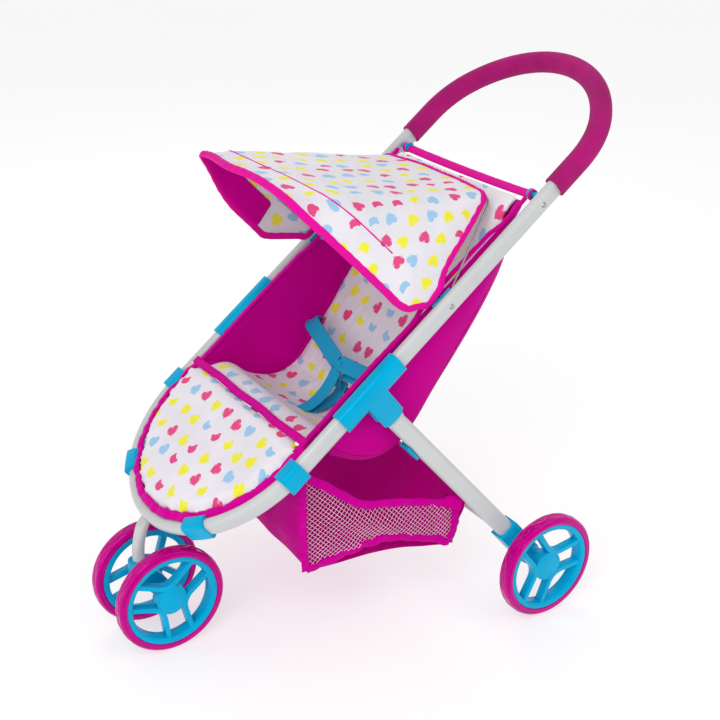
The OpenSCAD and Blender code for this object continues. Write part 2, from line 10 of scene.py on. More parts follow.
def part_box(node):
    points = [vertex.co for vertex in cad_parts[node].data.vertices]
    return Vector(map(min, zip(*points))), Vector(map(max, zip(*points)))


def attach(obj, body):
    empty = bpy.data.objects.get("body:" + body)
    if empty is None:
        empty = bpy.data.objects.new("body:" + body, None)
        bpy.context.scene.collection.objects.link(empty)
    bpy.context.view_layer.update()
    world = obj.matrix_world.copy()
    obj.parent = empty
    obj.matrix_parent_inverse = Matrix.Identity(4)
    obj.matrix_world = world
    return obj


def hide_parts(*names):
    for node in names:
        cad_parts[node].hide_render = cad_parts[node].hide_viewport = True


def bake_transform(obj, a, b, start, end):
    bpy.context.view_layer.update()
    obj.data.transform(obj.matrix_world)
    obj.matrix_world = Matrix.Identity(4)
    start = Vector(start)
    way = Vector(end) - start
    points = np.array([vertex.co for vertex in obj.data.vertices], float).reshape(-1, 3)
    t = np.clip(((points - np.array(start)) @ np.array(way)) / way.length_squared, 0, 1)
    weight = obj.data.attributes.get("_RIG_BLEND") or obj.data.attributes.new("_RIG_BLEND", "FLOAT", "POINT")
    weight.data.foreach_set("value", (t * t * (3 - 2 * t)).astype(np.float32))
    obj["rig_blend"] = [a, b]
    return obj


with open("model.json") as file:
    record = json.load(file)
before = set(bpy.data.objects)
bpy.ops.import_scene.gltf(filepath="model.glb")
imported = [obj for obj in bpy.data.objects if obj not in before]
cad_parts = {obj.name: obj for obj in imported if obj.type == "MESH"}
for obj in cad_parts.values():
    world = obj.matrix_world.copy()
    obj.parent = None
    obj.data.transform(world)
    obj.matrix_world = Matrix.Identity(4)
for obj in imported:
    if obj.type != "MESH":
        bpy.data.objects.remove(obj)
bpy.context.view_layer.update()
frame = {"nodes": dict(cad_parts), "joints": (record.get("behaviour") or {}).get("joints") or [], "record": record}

# ---- frames of reference ---------------------------------------------------------------------
# Points are in millimetres from the front axle's line on the floor: x to the doll's left, y to
# the rear, z up. to_m() turns them into metres in the part's own frame.

MM = 0.001
front_low, front_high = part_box("front_tyre_left")
AXLE_Y = (front_low[1] + front_high[1]) / 2
WHEEL_W = (front_high[0] - front_low[0]) / MM
ELBOW_Y = 100.2             # where the side tubes meet the front loop
ELBOW_Z = 224.6
TUBE_SLOPE = math.radians(37.8)
LOOP_SLOPE = math.radians(36.4)


def to_m(p):
    """A point from the front axle, in mm, as metres in the part's frame."""
    return Vector((p[0] * MM, p[1] * MM + AXLE_Y, p[2] * MM))


def on_tube(x, s, d):
    """x across, s up the side tubes from the elbow, d behind their middle plane."""
    return (x, ELBOW_Y + s * math.cos(TUBE_SLOPE) + d * math.sin(TUBE_SLOPE),
            ELBOW_Z + s * math.sin(TUBE_SLOPE) - d * math.cos(TUBE_SLOPE))


def on_loop(x, y, h):
    """x across, y up the front loop's plane from the elbow, h above that plane."""
    return (x, ELBOW_Y + y * math.cos(LOOP_SLOPE) - h * math.sin(LOOP_SLOPE),
            ELBOW_Z + y * math.sin(LOOP_SLOPE) + h * math.cos(LOOP_SLOPE))


def smooth(t):
    """Soft step from 0 to 1."""
    t = min(1.0, max(0.0, t))
    return t * t * (3 - 2 * t)


def along(points, t):
    """Point at t, 0 to 1 of the length, on a smooth curve through points."""
    pts = [np.array(p, float) for p in points]
    lengths = [0.0]
    for a, b in zip(pts, pts[1:]):
        lengths.append(lengths[-1] + float(np.linalg.norm(b - a)))
    goal = t * lengths[-1]
    i = max(k for k in range(len(pts) - 1) if lengths[k] <= goal + 1e-9)
    f = (goal - lengths[i]) / max(1e-9, lengths[i + 1] - lengths[i])
    p0, p1, p2, p3 = pts[max(i - 1, 0)], pts[i], pts[i + 1], pts[min(i + 2, len(pts) - 1)]
    return 0.5 * (2 * p1 + (p2 - p0) * f + (2 * p0 - 5 * p1 + 4 * p2 - p3) * f * f
                  + (3 * p1 - p0 - 3 * p2 + p3) * f ** 3)


def smooth_path(points, count):
    return [along(points, i / (count - 1)) for i in range(count)]


# ---- shader helpers --------------------------------------------------------------------------


class Shader:
    """A material with one Principled shader, and short names for adding nodes to it."""

    def __init__(self, name, colour, roughness, **sockets):
        self.material = bpy.data.materials.new(name)
        self.material.use_nodes = True
        self.tree = self.material.node_tree
        self.bsdf = self.tree.nodes["Principled BSDF"]
        self.bsdf.inputs["Base Color"].default_value = (*colour, 1)
        self.bsdf.inputs["Roughness"].default_value = roughness
        for socket, value in sockets.items():
            self.bsdf.inputs[socket.replace("_", " ")].default_value = value

    def add(self, kind, **settings):
        node = self.tree.nodes.new("ShaderNode" + kind)
        for key, value in settings.items():
            setattr(node, key, value)
        return node

    def put(self, source, socket):
        """Joins an output, or sets a number, on an input socket."""
        if hasattr(source, "links"):
            self.tree.links.new(source, socket)
        else:
            socket.default_value = source

    def math(self, operation, a, b=None, c=None):
        node = self.add("Math", operation=operation)
        for socket, value in zip(node.inputs, (a, b, c)):
            if value is not None:
                self.put(value, socket)
        return node.outputs[0]

    def uv(self):
        return self.add("TexCoord").outputs["UV"]

    def place(self):
        return self.add("TexCoord").outputs["Object"]

    def noise(self, vector, scale, detail=3.0, roughness=0.55):
        node = self.add("TexNoise")
        self.put(vector, node.inputs["Vector"])
        node.inputs["Scale"].default_value = scale
        node.inputs["Detail"].default_value = detail
        node.inputs["Roughness"].default_value = roughness
        return node.outputs[0]

    def wave(self, vector, scale, direction="X", distortion=0.0, profile="SIN"):
        node = self.add("TexWave", bands_direction=direction, wave_profile=profile)
        self.put(vector, node.inputs["Vector"])
        node.inputs["Scale"].default_value = scale
        node.inputs["Distortion"].default_value = distortion
        node.inputs["Detail Scale"].default_value = 2.0
        return node.outputs["Fac"]

    def span(self, value, low, high, to_low=0.0, to_high=1.0):
        node = self.add("MapRange")
        for socket, v in zip(node.inputs, (value, low, high, to_low, to_high)):
            self.put(v, socket)
        return node.outputs[0]

    def mix(self, factor, a, b):
        node = self.add("Mix", data_type="RGBA")
        self.put(factor, node.inputs[0])
        for value, socket in ((a, node.inputs[6]), (b, node.inputs[7])):
            self.put(value if hasattr(value, "links") else (*value, 1), socket)
        return node.outputs[2]

    def colour(self, source):
        self.tree.links.new(source, self.bsdf.inputs["Base Color"])

    def rough(self, source):
        self.tree.links.new(source, self.bsdf.inputs["Roughness"])

    def bump(self, height, strength, distance):
        node = self.add("Bump")
        node.inputs["Strength"].default_value = strength
        node.inputs["Distance"].default_value = distance
        self.tree.links.new(height, node.inputs["Height"])
        previous = self.bsdf.inputs["Normal"].links
        if previous:
            self.tree.links.new(previous[0].from_socket, node.inputs["Normal"])
        self.tree.links.new(node.outputs[0], self.bsdf.inputs["Normal"])

    def weave(self, strength, per_mm=1.25):
        """Over-and-under threads along both UV directions."""
        uv = self.uv()
        warp = self.wave(uv, per_mm / MM / 6.4, "X")
        weft = self.wave(uv, per_mm / MM / 6.4, "Y")
        self.bump(self.math("MULTIPLY", warp, weft), strength, 0.0002)


def shade(base, factor):
    return tuple(min(1.0, c * factor) for c in base)


# ---- materials -------------------------------------------------------------------------------

MAGENTA = (0.46, 0.0, 0.215)
TYRE = (0.50, 0.0, 0.23)
CYAN = (0.0, 0.37, 0.62)
WEBBING = (0.0, 0.30, 0.53)
RASPBERRY = (0.35, 0.004, 0.135)
BINDING = (0.70, 0.006, 0.30)
DEEP_BINDING = (0.58, 0.001, 0.27)
PINK_MARK = (0.72, 0.030, 0.19)
YELLOW_MARK = (0.80, 0.76, 0.01)
BLUE_MARK = (0.28, 0.52, 0.75)
PRINT_COLOURS = (PINK_MARK, YELLOW_MARK, BLUE_MARK, YELLOW_MARK, PINK_MARK, YELLOW_MARK, BLUE_MARK)
PRINT_PITCH = 0.0245        # metres between the marks of the print


def tube_paint():
    s = Shader("tube_white", (0.68, 0.69, 0.70), 0.32, Coat_Weight=0.2, Coat_Roughness=0.22)
    at = s.place()
    tone = s.span(s.noise(at, 18, 4), 0.3, 0.7)
    s.colour(s.mix(tone, (0.49, 0.505, 0.51), (0.54, 0.555, 0.56)))
    s.rough(s.span(s.noise(at, 60, 3), 0.3, 0.7, 0.27, 0.40))
    s.bump(s.noise(at, 900, 2), 0.05, 0.0004)
    return s.material


def moulded(name, colour, roughness, coat, grain, gloss=0.4):
    """Glossy moulded plastic with a fine grain and slight flow marks."""
    s = Shader(name, colour, roughness, Coat_Weight=coat, Coat_Roughness=0.12, Specular_IOR_Level=gloss)
    s.bsdf.inputs["Specular Tint"].default_value = (*shade(colour, 1.5), 1)
    s.bsdf.inputs["Coat Tint"].default_value = (*(0.5 + 0.5 * c for c in colour), 1)
    at = s.place()
    s.colour(s.mix(s.span(s.noise(at, 22, 3), 0.3, 0.7), shade(colour, 0.90), shade(colour, 1.08)))
    s.rough(s.span(s.noise(at, 90, 3), 0.3, 0.7, roughness * 0.8, roughness * 1.25))
    s.bump(s.noise(at, 1400, 2), grain, 0.0003)
    s.bump(s.noise(at, 45, 2), 0.06, 0.002)
    return s.material


def foam():
    s = Shader("foam_raspberry", RASPBERRY, 0.86, Sheen_Weight=0.08, Sheen_Roughness=0.5,
               Specular_IOR_Level=0.2)
    at = s.place()
    s.bsdf.inputs["Sheen Tint"].default_value = (0.9, 0.35, 0.7, 1)
    pores = s.add("TexVoronoi")
    s.put(at, pores.inputs["Vector"])
    pores.inputs["Scale"].default_value = 900
    pore_depth_and_shade = s.span(pores.outputs["Distance"], 0.0, 0.55)
    # colour is darker in the sunken pores, which is painted shade, and varies with a random tone from the noise
    s.colour(s.mix(s.math("MULTIPLY", pore_depth_and_shade, s.span(s.noise(at, 26, 4), 0.25, 0.75)),
                   shade(RASPBERRY, 0.80), shade(RASPBERRY, 1.28)))
    s.bump(pore_depth_and_shade, 0.30, 0.0005)
    s.bump(s.noise(at, 160, 4), 0.18, 0.001)
    return s.material


def steel():
    s = Shader("steel", (0.40, 0.41, 0.43), 0.30, Metallic=1.0)
    at = s.place()
    s.rough(s.span(s.noise(at, 300, 4), 0.3, 0.7, 0.22, 0.42))
    s.bump(s.wave(at, 700, "X", 6.0), 0.05, 0.0002)
    return s.material


def cloth(name, colour, sheen, lightness=0.12, wrinkle=0.35, painted_glow=0.0):
    """Plain woven cloth with soft colour changes and small creases. Its last argument is painted light: an
    emission in the cloth's own colour, standing in for light that comes through the cloth, which brightens it
    where it lies in shade."""
    s = Shader(name, colour, 0.72, Sheen_Weight=sheen, Sheen_Roughness=0.4, Specular_IOR_Level=0.1,
               Emission_Strength=painted_glow)
    # emission in the cloth's own colour, strength from the last argument: painted light, not a lamp
    s.bsdf.inputs["Emission Color"].default_value = (*colour, 1)
    s.bsdf.inputs["Specular Tint"].default_value = (*colour, 1)
    at = s.place()
    soft = s.span(s.noise(at, 13, 5), 0.25, 0.75)
    thread = s.noise(at, 1100, 2)
    tone = s.math("ADD", s.math("MULTIPLY", soft, 0.7), s.math("MULTIPLY", thread, 0.3))
    s.colour(s.mix(tone, shade(colour, 1 - lightness), shade(colour, 1 + lightness)))
    s.rough(s.span(thread, 0.2, 0.8, 0.62, 0.82))
    s.bump(s.noise(at, 34, 4), wrinkle, 0.0022)
    s.weave(0.35)
    return s.material


def webbing(name, colour):
    """Flat tape: ribs across its length (V)."""
    s = Shader(name, colour, 0.55, Sheen_Weight=0.05, Sheen_Roughness=0.4, Specular_IOR_Level=0.25)
    uv = s.uv()
    rib = s.wave(uv, 150, "Y")
    # the ribs' grooves are painted darker and their crests lighter: painted shade and painted highlight that
    # follow the relief
    s.colour(s.mix(rib, shade(colour, 0.88), shade(colour, 1.10)))
    s.bump(rib, 0.3, 0.0003)
    s.bump(s.noise(s.place(), 900, 2), 0.2, 0.0003)
    return s.material


def print_marks(s):
    """Mask and colour of scattered hearts and round-eared heads, in rows that step sideways."""
    grid = s.add("VectorMath", operation="SCALE")
    s.put(s.uv(), grid.inputs[0])
    grid.inputs["Scale"].default_value = 1 / PRINT_PITCH
    split = s.add("SeparateXYZ")
    s.put(grid.outputs[0], split.inputs[0])
    row = s.math("FLOOR", split.outputs[1])
    shifted = s.math("ADD", split.outputs[0], s.math("MULTIPLY", s.math("PINGPONG", row, 1.0), 0.5))
    cell = s.add("CombineXYZ")
    s.put(s.math("FLOOR", shifted), cell.inputs[0])
    s.put(row, cell.inputs[1])
    chance = s.add("TexWhiteNoise", noise_dimensions="2D")
    s.put(cell.outputs[0], chance.inputs["Vector"])
    pick = s.add("SeparateColor")
    s.put(chance.outputs["Color"], pick.inputs[0])
    local = s.add("CombineXYZ")
    s.put(s.math("ADD", s.math("SUBTRACT", s.math("FRACT", shifted), 0.5),
                 s.math("MULTIPLY", s.math("SUBTRACT", pick.outputs[0], 0.5), 0.22)), local.inputs[0])
    s.put(s.math("ADD", s.math("SUBTRACT", s.math("FRACT", split.outputs[1]), 0.5),
                 s.math("MULTIPLY", s.math("SUBTRACT", pick.outputs[1], 0.5), 0.22)), local.inputs[1])
    turn = s.add("VectorRotate", rotation_type="Z_AXIS")
    s.put(local.outputs[0], turn.inputs["Vector"])
    s.put(s.span(pick.outputs[2], 0, 1, -0.9, 0.9), turn.inputs["Angle"])
    size = s.add("VectorMath", operation="SCALE")
    s.put(turn.outputs[0], size.inputs[0])
    size.inputs["Scale"].default_value = 3.9
    xy = s.add("SeparateXYZ")
    s.put(size.outputs[0], xy.inputs[0])
    x, y = xy.outputs[0], xy.outputs[1]
    xx, yy = s.math("MULTIPLY", x, x), s.math("MULTIPLY", y, y)
    # heart: (x2 + y2 - 1)^3 - x2 y3 below zero inside
    ring = s.math("SUBTRACT", s.math("ADD", xx, yy), 1.0)
    heart = s.math("SUBTRACT", s.math("MULTIPLY", ring, s.math("MULTIPLY", ring, ring)),
                   s.math("MULTIPLY", xx, s.math("MULTIPLY", yy, y)))
    # head: a wide oval with two round ears
    oval = s.math("SUBTRACT", s.math("SQRT", s.math("ADD", s.math("MULTIPLY", xx, 0.72),
                  s.math("MULTIPLY", yy, 1.35))), 0.80)
    side = s.math("SUBTRACT", s.math("ABSOLUTE", x), 0.70)
    rise = s.math("SUBTRACT", y, 0.55)
    ear = s.math("SUBTRACT", s.math("SQRT", s.math("ADD", s.math("MULTIPLY", side, side),
                 s.math("MULTIPLY", rise, rise))), 0.33)
    head = s.math("MINIMUM", oval, ear)
    kind = s.math("GREATER_THAN", s.math("FRACT", s.math("MULTIPLY", chance.outputs["Value"], 7.0)), 0.55)
    heart_mask = s.span(heart, 0.05, -0.05)
    head_mask = s.span(head, 0.04, -0.04)
    mask = s.math("ADD", s.math("MULTIPLY", head_mask, kind),
                  s.math("MULTIPLY", heart_mask, s.math("SUBTRACT", 1.0, kind)))
    ramp = s.add("ValToRGB")
    ramp.color_ramp.interpolation = "CONSTANT"
    stops = ramp.color_ramp.elements
    while len(stops) < len(PRINT_COLOURS):
        stops.new(0.5)
    for i, (stop, colour) in enumerate(zip(stops, PRINT_COLOURS)):
        stop.position = i / len(PRINT_COLOURS)
        stop.color = (*colour, 1)
    s.put(chance.outputs["Value"], ramp.inputs[0])
    return mask, ramp.outputs[0]


def print_cloth():
    """White polyester printed with small coloured marks."""
    s = Shader("print_fabric", (0.80, 0.78, 0.82), 0.66, Sheen_Weight=0.05, Specular_IOR_Level=0.25)
    mask, mark = print_marks(s)
    at = s.place()
    ground = s.mix(s.span(s.noise(at, 16, 4), 0.3, 0.7), (0.69, 0.665, 0.72), (0.77, 0.74, 0.79))
    node = s.add("Mix", data_type="RGBA")
    s.put(s.math("MULTIPLY", mask, 0.96), node.inputs[0])
    s.put(ground, node.inputs[6])
    s.put(mark, node.inputs[7])
    s.colour(node.outputs[2])
    s.bump(s.noise(at, 30, 4), 0.30, 0.002)
    s.weave(0.25)
    return s.material


def net_material():
    s = Shader("net_pink", (0.90, 0.60, 0.76), 0.6, Specular_IOR_Level=0.1)
    at = s.place()
    s.colour(s.mix(s.span(s.noise(at, 60, 3), 0.3, 0.7), (0.86, 0.50, 0.68), (0.95, 0.68, 0.82)))
    s.bump(s.noise(at, 1500, 2), 0.3, 0.0003)
    return s.material


MATERIALS = {
    "tube_white": tube_paint(),
    "foam_raspberry": foam(),
    "plastic_cyan": moulded("plastic_cyan", CYAN, 0.32, 0.08, 0.04),
    "tyre_magenta": moulded("tyre_magenta", TYRE, 0.16, 0.10, 0.01, 0.9),
    "steel": steel(),
    "print_fabric": print_cloth(),
    # the magenta cloth glows a little: painted light that brightens it where it lies in shade
    "magenta_fabric": cloth("magenta_fabric", MAGENTA, 0.04, painted_glow=0.14),
    "binding_pink": cloth("binding_pink", BINDING, 0.05, 0.08, 0.2),
    "binding_deep": cloth("binding_deep", DEEP_BINDING, 0.05, 0.10, 0.25),
    # the bag has a darker base and a stronger glow: painted light that lifts its shaded inside, while the darker
    # base keeps its lit front from going too bright
    "bag_magenta": cloth("bag_magenta", (0.36, 0.0, 0.165), 0.03, painted_glow=0.36),
    "hem_magenta": cloth("hem_magenta", (0.50, 0.0, 0.25), 0.05),
    "net_pink": net_material(),
    "plastic_snap": moulded("plastic_snap", (0.42, 0.005, 0.12), 0.3, 0.2, 0.03),
    "webbing_cyan": webbing("webbing_cyan", WEBBING),
    "plastic_white": moulded("plastic_white", (0.85, 0.85, 0.86), 0.35, 0.3, 0.05),
}
# the record's slot for each material that is a shade of one
for row in frame["record"]["subparts"]:
    node = frame["nodes"][row["node"]]
    node.data.materials.clear()
    node.data.materials.append(MATERIALS[row["material_slot"]])


# ---- mesh helpers ----------------------------------------------------------------------------


def make(name, verts, faces, slot, uvs=None, smooth_shade=True):
    """A mesh object from points in metres; uvs is one (u, v) in metres for each vertex."""
    mesh = bpy.data.meshes.new(name)
    mesh.from_pydata([tuple(v) for v in verts], [], faces)
    mesh.validate()
    mesh.update()
    if uvs is not None:
        layer = mesh.uv_layers.new(name="UVMap")
        for loop in mesh.loops:
            layer.data[loop.index].uv = uvs[loop.vertex_index]
    obj = bpy.data.objects.new(name, mesh)
    bpy.context.scene.collection.objects.link(obj)
    mesh.materials.append(MATERIALS[slot])
    if smooth_shade:
        for face in mesh.polygons:
            face.use_smooth = True
    return obj


def apply_modifiers(obj):
    bpy.context.view_layer.update()
    graph = bpy.context.evaluated_depsgraph_get()
    mesh = bpy.data.meshes.new_from_object(obj.evaluated_get(graph), preserve_all_data_layers=True,
                                           depsgraph=graph)
    obj.modifiers.clear()
    obj.data = mesh
    return obj


def soften(obj, levels=1, thickness=0.0, offset=-1.0, bevel=0.0):
    """Optional thickness, bevel and subdivision, all applied."""
    if thickness:
        shell = obj.modifiers.new("thickness", "SOLIDIFY")
        shell.thickness = thickness * MM
        shell.offset = offset
    if bevel:
        edge = obj.modifiers.new("bevel", "BEVEL")
        edge.width = bevel * MM
        edge.segments = 3
        edge.limit_method = "ANGLE"
        edge.angle_limit = math.radians(35)
        edge.harden_normals = False
    if levels:
        sub = obj.modifiers.new("smooth", "SUBSURF")
        sub.levels = levels
        sub.render_levels = levels
    apply_modifiers(obj)
    for face in obj.data.polygons:
        face.use_smooth = True
    return obj


def sheet_from(name, rows, slot, closed=False):
    """A quad sheet through rows of mm points; UVs measure the cloth in metres."""
    grid = [[to_m(p) for p in row] for row in rows]
    cols = len(grid[0])
    verts = [v for row in grid for v in row]
    faces = []
    for i in range(len(grid) - 1):
        for j in range(cols if closed else cols - 1):
            k = (j + 1) % cols
            faces.append((i * cols + j, i * cols + k, (i + 1) * cols + k, (i + 1) * cols + j))
    middle = cols // 2
    down = [0.0]
    for a, b in zip(grid, grid[1:]):
        down.append(down[-1] + (b[middle] - a[middle]).length)
    uvs = []
    for i, row in enumerate(grid):
        across = [0.0]
        for a, b in zip(row, row[1:]):
            across.append(across[-1] + (b - a).length)
        half = across[middle]
        uvs += [(u - half, down[i]) for u in across]
    return make(name, verts, faces, slot, uvs)


def tape(name, path, normals, width, thickness, slot, closed=False, pucker=0.0, fold_every=9.0):
    """A flat or folded tape along mm points. normals point out of its face; pucker is the height
    of small gathers across it."""
    pts = [Vector(p) for p in path]
    n = len(pts)
    length = [0.0]
    for a, b in zip(pts, pts[1:]):
        length.append(length[-1] + (b - a).length)
    section = []
    for k in range(12):
        q = 2 * math.pi * k / 12
        section.append((math.copysign(abs(math.cos(q)) ** 0.6, math.cos(q)) * width / 2,
                        math.copysign(abs(math.sin(q)) ** 0.8, math.sin(q)) * thickness / 2))
    verts, uvs = [], []
    for i, p in enumerate(pts):
        a = pts[(i - 1) % n] if closed else pts[max(i - 1, 0)]
        b = pts[(i + 1) % n] if closed else pts[min(i + 1, n - 1)]
        t = (b - a).normalized()
        up = Vector(normals[i])
        up = (up - t * up.dot(t)).normalized()
        side = t.cross(up)
        phase = 2 * math.pi * length[i] / fold_every
        swell = pucker * (math.sin(phase) + 0.6 * math.sin(phase * 0.37 + 1.3))
        for u, v in section:
            lift = v + swell * (0.5 + 0.5 * v / (thickness / 2)) * (0.6 + 0.4 * abs(u) / (width / 2))
            verts.append(to_m(p + side * (u + 0.5 * swell * (u / width)) + up * lift))
            uvs.append((u * MM, length[i] * MM))
    m = len(section)
    faces = []
    for i in range(n if closed else n - 1):
        j = (i + 1) % n
        for k in range(m):
            faces.append((i * m + k, i * m + (k + 1) % m, j * m + (k + 1) % m, j * m + k))
    if not closed:
        faces.append(tuple(range(m - 1, -1, -1)))
        faces.append(tuple((n - 1) * m + k for k in range(m)))
    return make(name, verts, faces, slot, uvs)


def join(name, parts):
    """One object out of several."""
    bpy.ops.object.select_all(action="DESELECT")
    for part in parts:
        part.select_set(True)
    bpy.context.view_layer.objects.active = parts[0]
    bpy.ops.object.join()
    obj = parts[0]
    obj.name = name
    return obj


def revolve(profile, steps, shape=None):
    """Points and faces of an x-r outline, closed, turned about the X axis; shape(x, r, angle)
    may return a changed (x, r)."""
    verts, faces = [], []
    m = len(profile)
    for i in range(steps):
        q = 2 * math.pi * i / steps
        for x, r in profile:
            if shape:
                x, r = shape(x, r, q)
            verts.append((x, r * math.cos(q), r * math.sin(q)))
    for i in range(steps):
        j = (i + 1) % steps
        for k in range(m):
            faces.append((i * m + k, j * m + k, j * m + (k + 1) % m, i * m + (k + 1) % m))
    return verts, faces


def soft_edged(node, width):
    """A copy of a moulded CAD node with its sharp edges rounded, which stands for the node."""
    source = frame["nodes"][node]
    mesh = source.data.copy()
    obj = bpy.data.objects.new(node + "_shell", mesh)
    bpy.context.scene.collection.objects.link(obj)
    work = bmesh.new()
    work.from_mesh(mesh)
    bmesh.ops.remove_doubles(work, verts=work.verts, dist=1e-6)
    bmesh.ops.dissolve_limit(work, angle_limit=math.radians(0.4), verts=work.verts, edges=work.edges)
    work.to_mesh(mesh)
    work.free()
    if mesh.has_custom_normals:
        mesh.attributes.remove(mesh.attributes["custom_normal"])
    soften(obj, levels=0, bevel=width)
    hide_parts(node)
    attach(obj, body_of[node])
    mark_sharp(obj)
    return obj


def mark_sharp(obj, degrees=32):
    """Keeps real creases crisp under smooth shading."""
    work = bmesh.new()
    work.from_mesh(obj.data)
    for edge in work.edges:
        if len(edge.link_faces) == 2 and edge.calc_face_angle() > math.radians(degrees):
            edge.smooth = False
    work.to_mesh(obj.data)
    work.free()


body_of = {n: body for body, nodes in frame["record"]["behaviour"]["bodies"].items() for n in nodes}


def crease(p, size, height, seed):
    """Height of soft wrinkles at a mm point."""
    return height * noise.noise(Vector((p[0] / size, p[1] / size, p[2] / size)) + Vector((seed, 0, 0)))


# ---- moulded parts ---------------------------------------------------------------------------

for name in ("tee_housing_left", "tee_housing_right", "foot_left", "foot_right", "caster_block"):
    soft_edged(name, 1.4)
for name in ("mid_clip_left", "mid_clip_right", "front_sleeve_left", "front_sleeve_right",
             "basket_clips", "strap_hooks", "canopy_pivot_left", "canopy_pivot_right"):
    soft_edged(name, 0.7)

# ---- wheels ----------------------------------------------------------------------------------

RIM_R = 51.0
RING_R = 44.0
HUB_R = 17.0
WHEEL_PHASE = {"front_left": -20, "front_right": 15, "rear_left": 65, "rear_right": 35}


def tyre_mesh(half, phase):
    """Tyre with a raised bead on each face and wavy ribs in relief around the tread."""
    side = [(half - 0.9, RIM_R + 0.2), (half - 0.25, RIM_R + 0.5), (half, RIM_R + 1.3),
            (half, 54.2), (half - 0.2, 55.0), (half - 1.1, 55.5), (half - 1.1, 55.9), (half - 0.7, 56.8),
            (half - 1.3, 57.9), (half - 2.4, 58.9)]
    tread = [(6.0 - 0.6 * k, 59.2) for k in range(1, 20)]
    profile = side + [(5.6, 59.1)] + tread + [(-5.6, 59.1)] + [(-x, r) for x, r in reversed(side)]

    def relief(x, r, q):
        if r < 59.15 or abs(x) > 5.5:
            return x, r
        waves = 11
        line = 3.3 * math.sin(waves * q + phase)
        other = 3.3 * math.sin(waves * q + phase + 2.2)
        ridge = math.exp(-((x - line) / 0.85) ** 2) + 0.8 * math.exp(-((x - other) / 0.7) ** 2)
        return x, r + 0.78 * min(1.0, ridge) * smooth((5.6 - abs(x)) / 1.2)

    verts, faces = revolve(profile, 264, relief)
    return verts, faces


def rib_outline(width):
    """Outline of one bent rib: two arms from the ring to a rounded bend at the hub."""
    turn = math.radians(57)
    apex, reach = 13.4, 37.5
    arm = [np.array((apex + reach * f * math.cos(turn), reach * f * math.sin(turn)))
           for f in (1.0, 0.8, 0.6, 0.42)]
    bend_start = arm[-1]
    bend = []
    for k in range(1, 8):
        f = k / 8
        top = bend_start * np.array((1, 1))
        low = bend_start * np.array((1, -1))
        bend.append((1 - f) ** 2 * top + 2 * f * (1 - f) * np.array((apex - 1.5, 0)) + f * f * low)
    middle = arm + bend + [p * np.array((1, -1)) for p in reversed(arm)]
    left, right = [], []
    for i, p in enumerate(middle):
        a, b = middle[max(i - 1, 0)], middle[min(i + 1, len(middle) - 1)]
        t = (b - a) / np.linalg.norm(b - a)
        n = np.array((-t[1], t[0]))
        left.append(p + n * width / 2)
        right.append(p - n * width / 2)
    return left, right


def rib_mesh(x_face, x_back, angle, width_face, width_back):
    """A bent rib whose face is narrower than its back, as moulded ribs are."""
    verts, faces = [], []
    layers = []
    for x, width in ((x_face, width_face), (x_back, width_back)):
        left, right = rib_outline(width)
        ring = left + right[::-1]
        layers.append(ring)
        for p in ring:
            c, s = math.cos(angle), math.sin(angle)
            verts.append((x, p[0] * c - p[1] * s, p[0] * s + p[1] * c))
    m = len(layers[0])
    half = m // 2
    for i in range(m):
        j = (i + 1) % m
        faces.append((i, j, m + j, m + i))
    for i in range(half - 1):
        a, b = i, i + 1
        c, d = m - 2 - i, m - 1 - i
        faces.append((a, d, c, b))
        faces.append((m + a, m + b, m + c, m + d))
    return verts, faces


def place_wheel(mesh_parts, name, slot, nodes, body, centre, side, bevel=0.0):
    """Puts mm meshes, drawn with the outer face towards +X, at a wheel's centre."""
    verts, faces = [], []
    for part_verts, part_faces in mesh_parts:
        base = len(verts)
        verts += part_verts
        faces += [tuple(base + k for k in face) for face in part_faces]
    placed = [(centre[0] + side * v[0] * MM, centre[1] + v[1] * MM, centre[2] + v[2] * MM) for v in verts]
    obj = make(name, placed, faces, slot)
    work = bmesh.new()
    work.from_mesh(obj.data)
    bmesh.ops.recalc_face_normals(work, faces=work.faces)
    work.to_mesh(obj.data)
    work.free()
    if bevel:
        soften(obj, levels=0, bevel=bevel)
    mark_sharp(obj)
    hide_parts(*nodes)
    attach(obj, body)
    return obj


def wheel(end, side_name):
    side = 1 if side_name == "left" else -1
    key = f"{end}_{side_name}"
    low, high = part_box(f"{end}_tyre_{side_name}")
    centre = [(low[i] + high[i]) / 2 for i in range(3)]
    half = WHEEL_W / 2
    phase = math.radians(WHEEL_PHASE[key])
    body = f"{end}_wheel_{side_name}"
    place_wheel([tyre_mesh(half, phase)], f"tyre_{key}", "tyre_magenta",
                [f"{end}_tyre_{side_name}"], body, centre, side)
    # ring: flat face, a slope inwards and a deep inner wall
    ring = [(half - 1.0, RIM_R), (half - 0.5, 50.4), (half - 0.5, 47.6), (half - 1.2, 46.6),
            (half - 1.9, 45.4), (half - 2.6, 44.8), (1.0, RING_R), (1.0 - half, RING_R + 0.3),
            (0.7 - half, 45.2), (0.7 - half, 50.2), (1.2 - half, RIM_R)]
    hub = [(half - 3.0, 15.0), (half - 3.0, HUB_R - 0.6), (half - 3.6, HUB_R), (0.6 - half, HUB_R),
           (0.2 - half, HUB_R - 0.6), (0.2 - half, 3.2), (half - 9.0, 3.2), (half - 9.0, 15.0)]
    parts = [revolve(ring, 120), revolve(hub, 72)]
    for k in range(3):
        parts.append(rib_mesh(half - 2.9, 0.5 - half + 4, phase + k * math.radians(120), 5.2, 6.6))
    place_wheel(parts, f"rim_{key}", "plastic_cyan", [f"{end}_rim_{side_name}"], body, centre, side, 0.35)
    # hub cover: a shallow dome with a rolled edge
    dome = [(half - 2.3 - 0.9 * (r / 15.0) ** 4, r) for r in (0.01, 3, 6, 9, 12, 13.8, 14.9)]
    cover = dome + [(half - 3.8, 15.1), (half - 5.6, 14.6), (half - 5.6, 0.01)]
    place_wheel([revolve(cover, 72)], f"cap_{key}", "plastic_cyan", [f"{end}_cap_{side_name}"],
                body, centre, side)


for wheel_end in ("front", "rear"):
    for wheel_side in ("left", "right"):
        wheel(wheel_end, wheel_side)


# ---- soft goods: helpers ---------------------------------------------------------------------


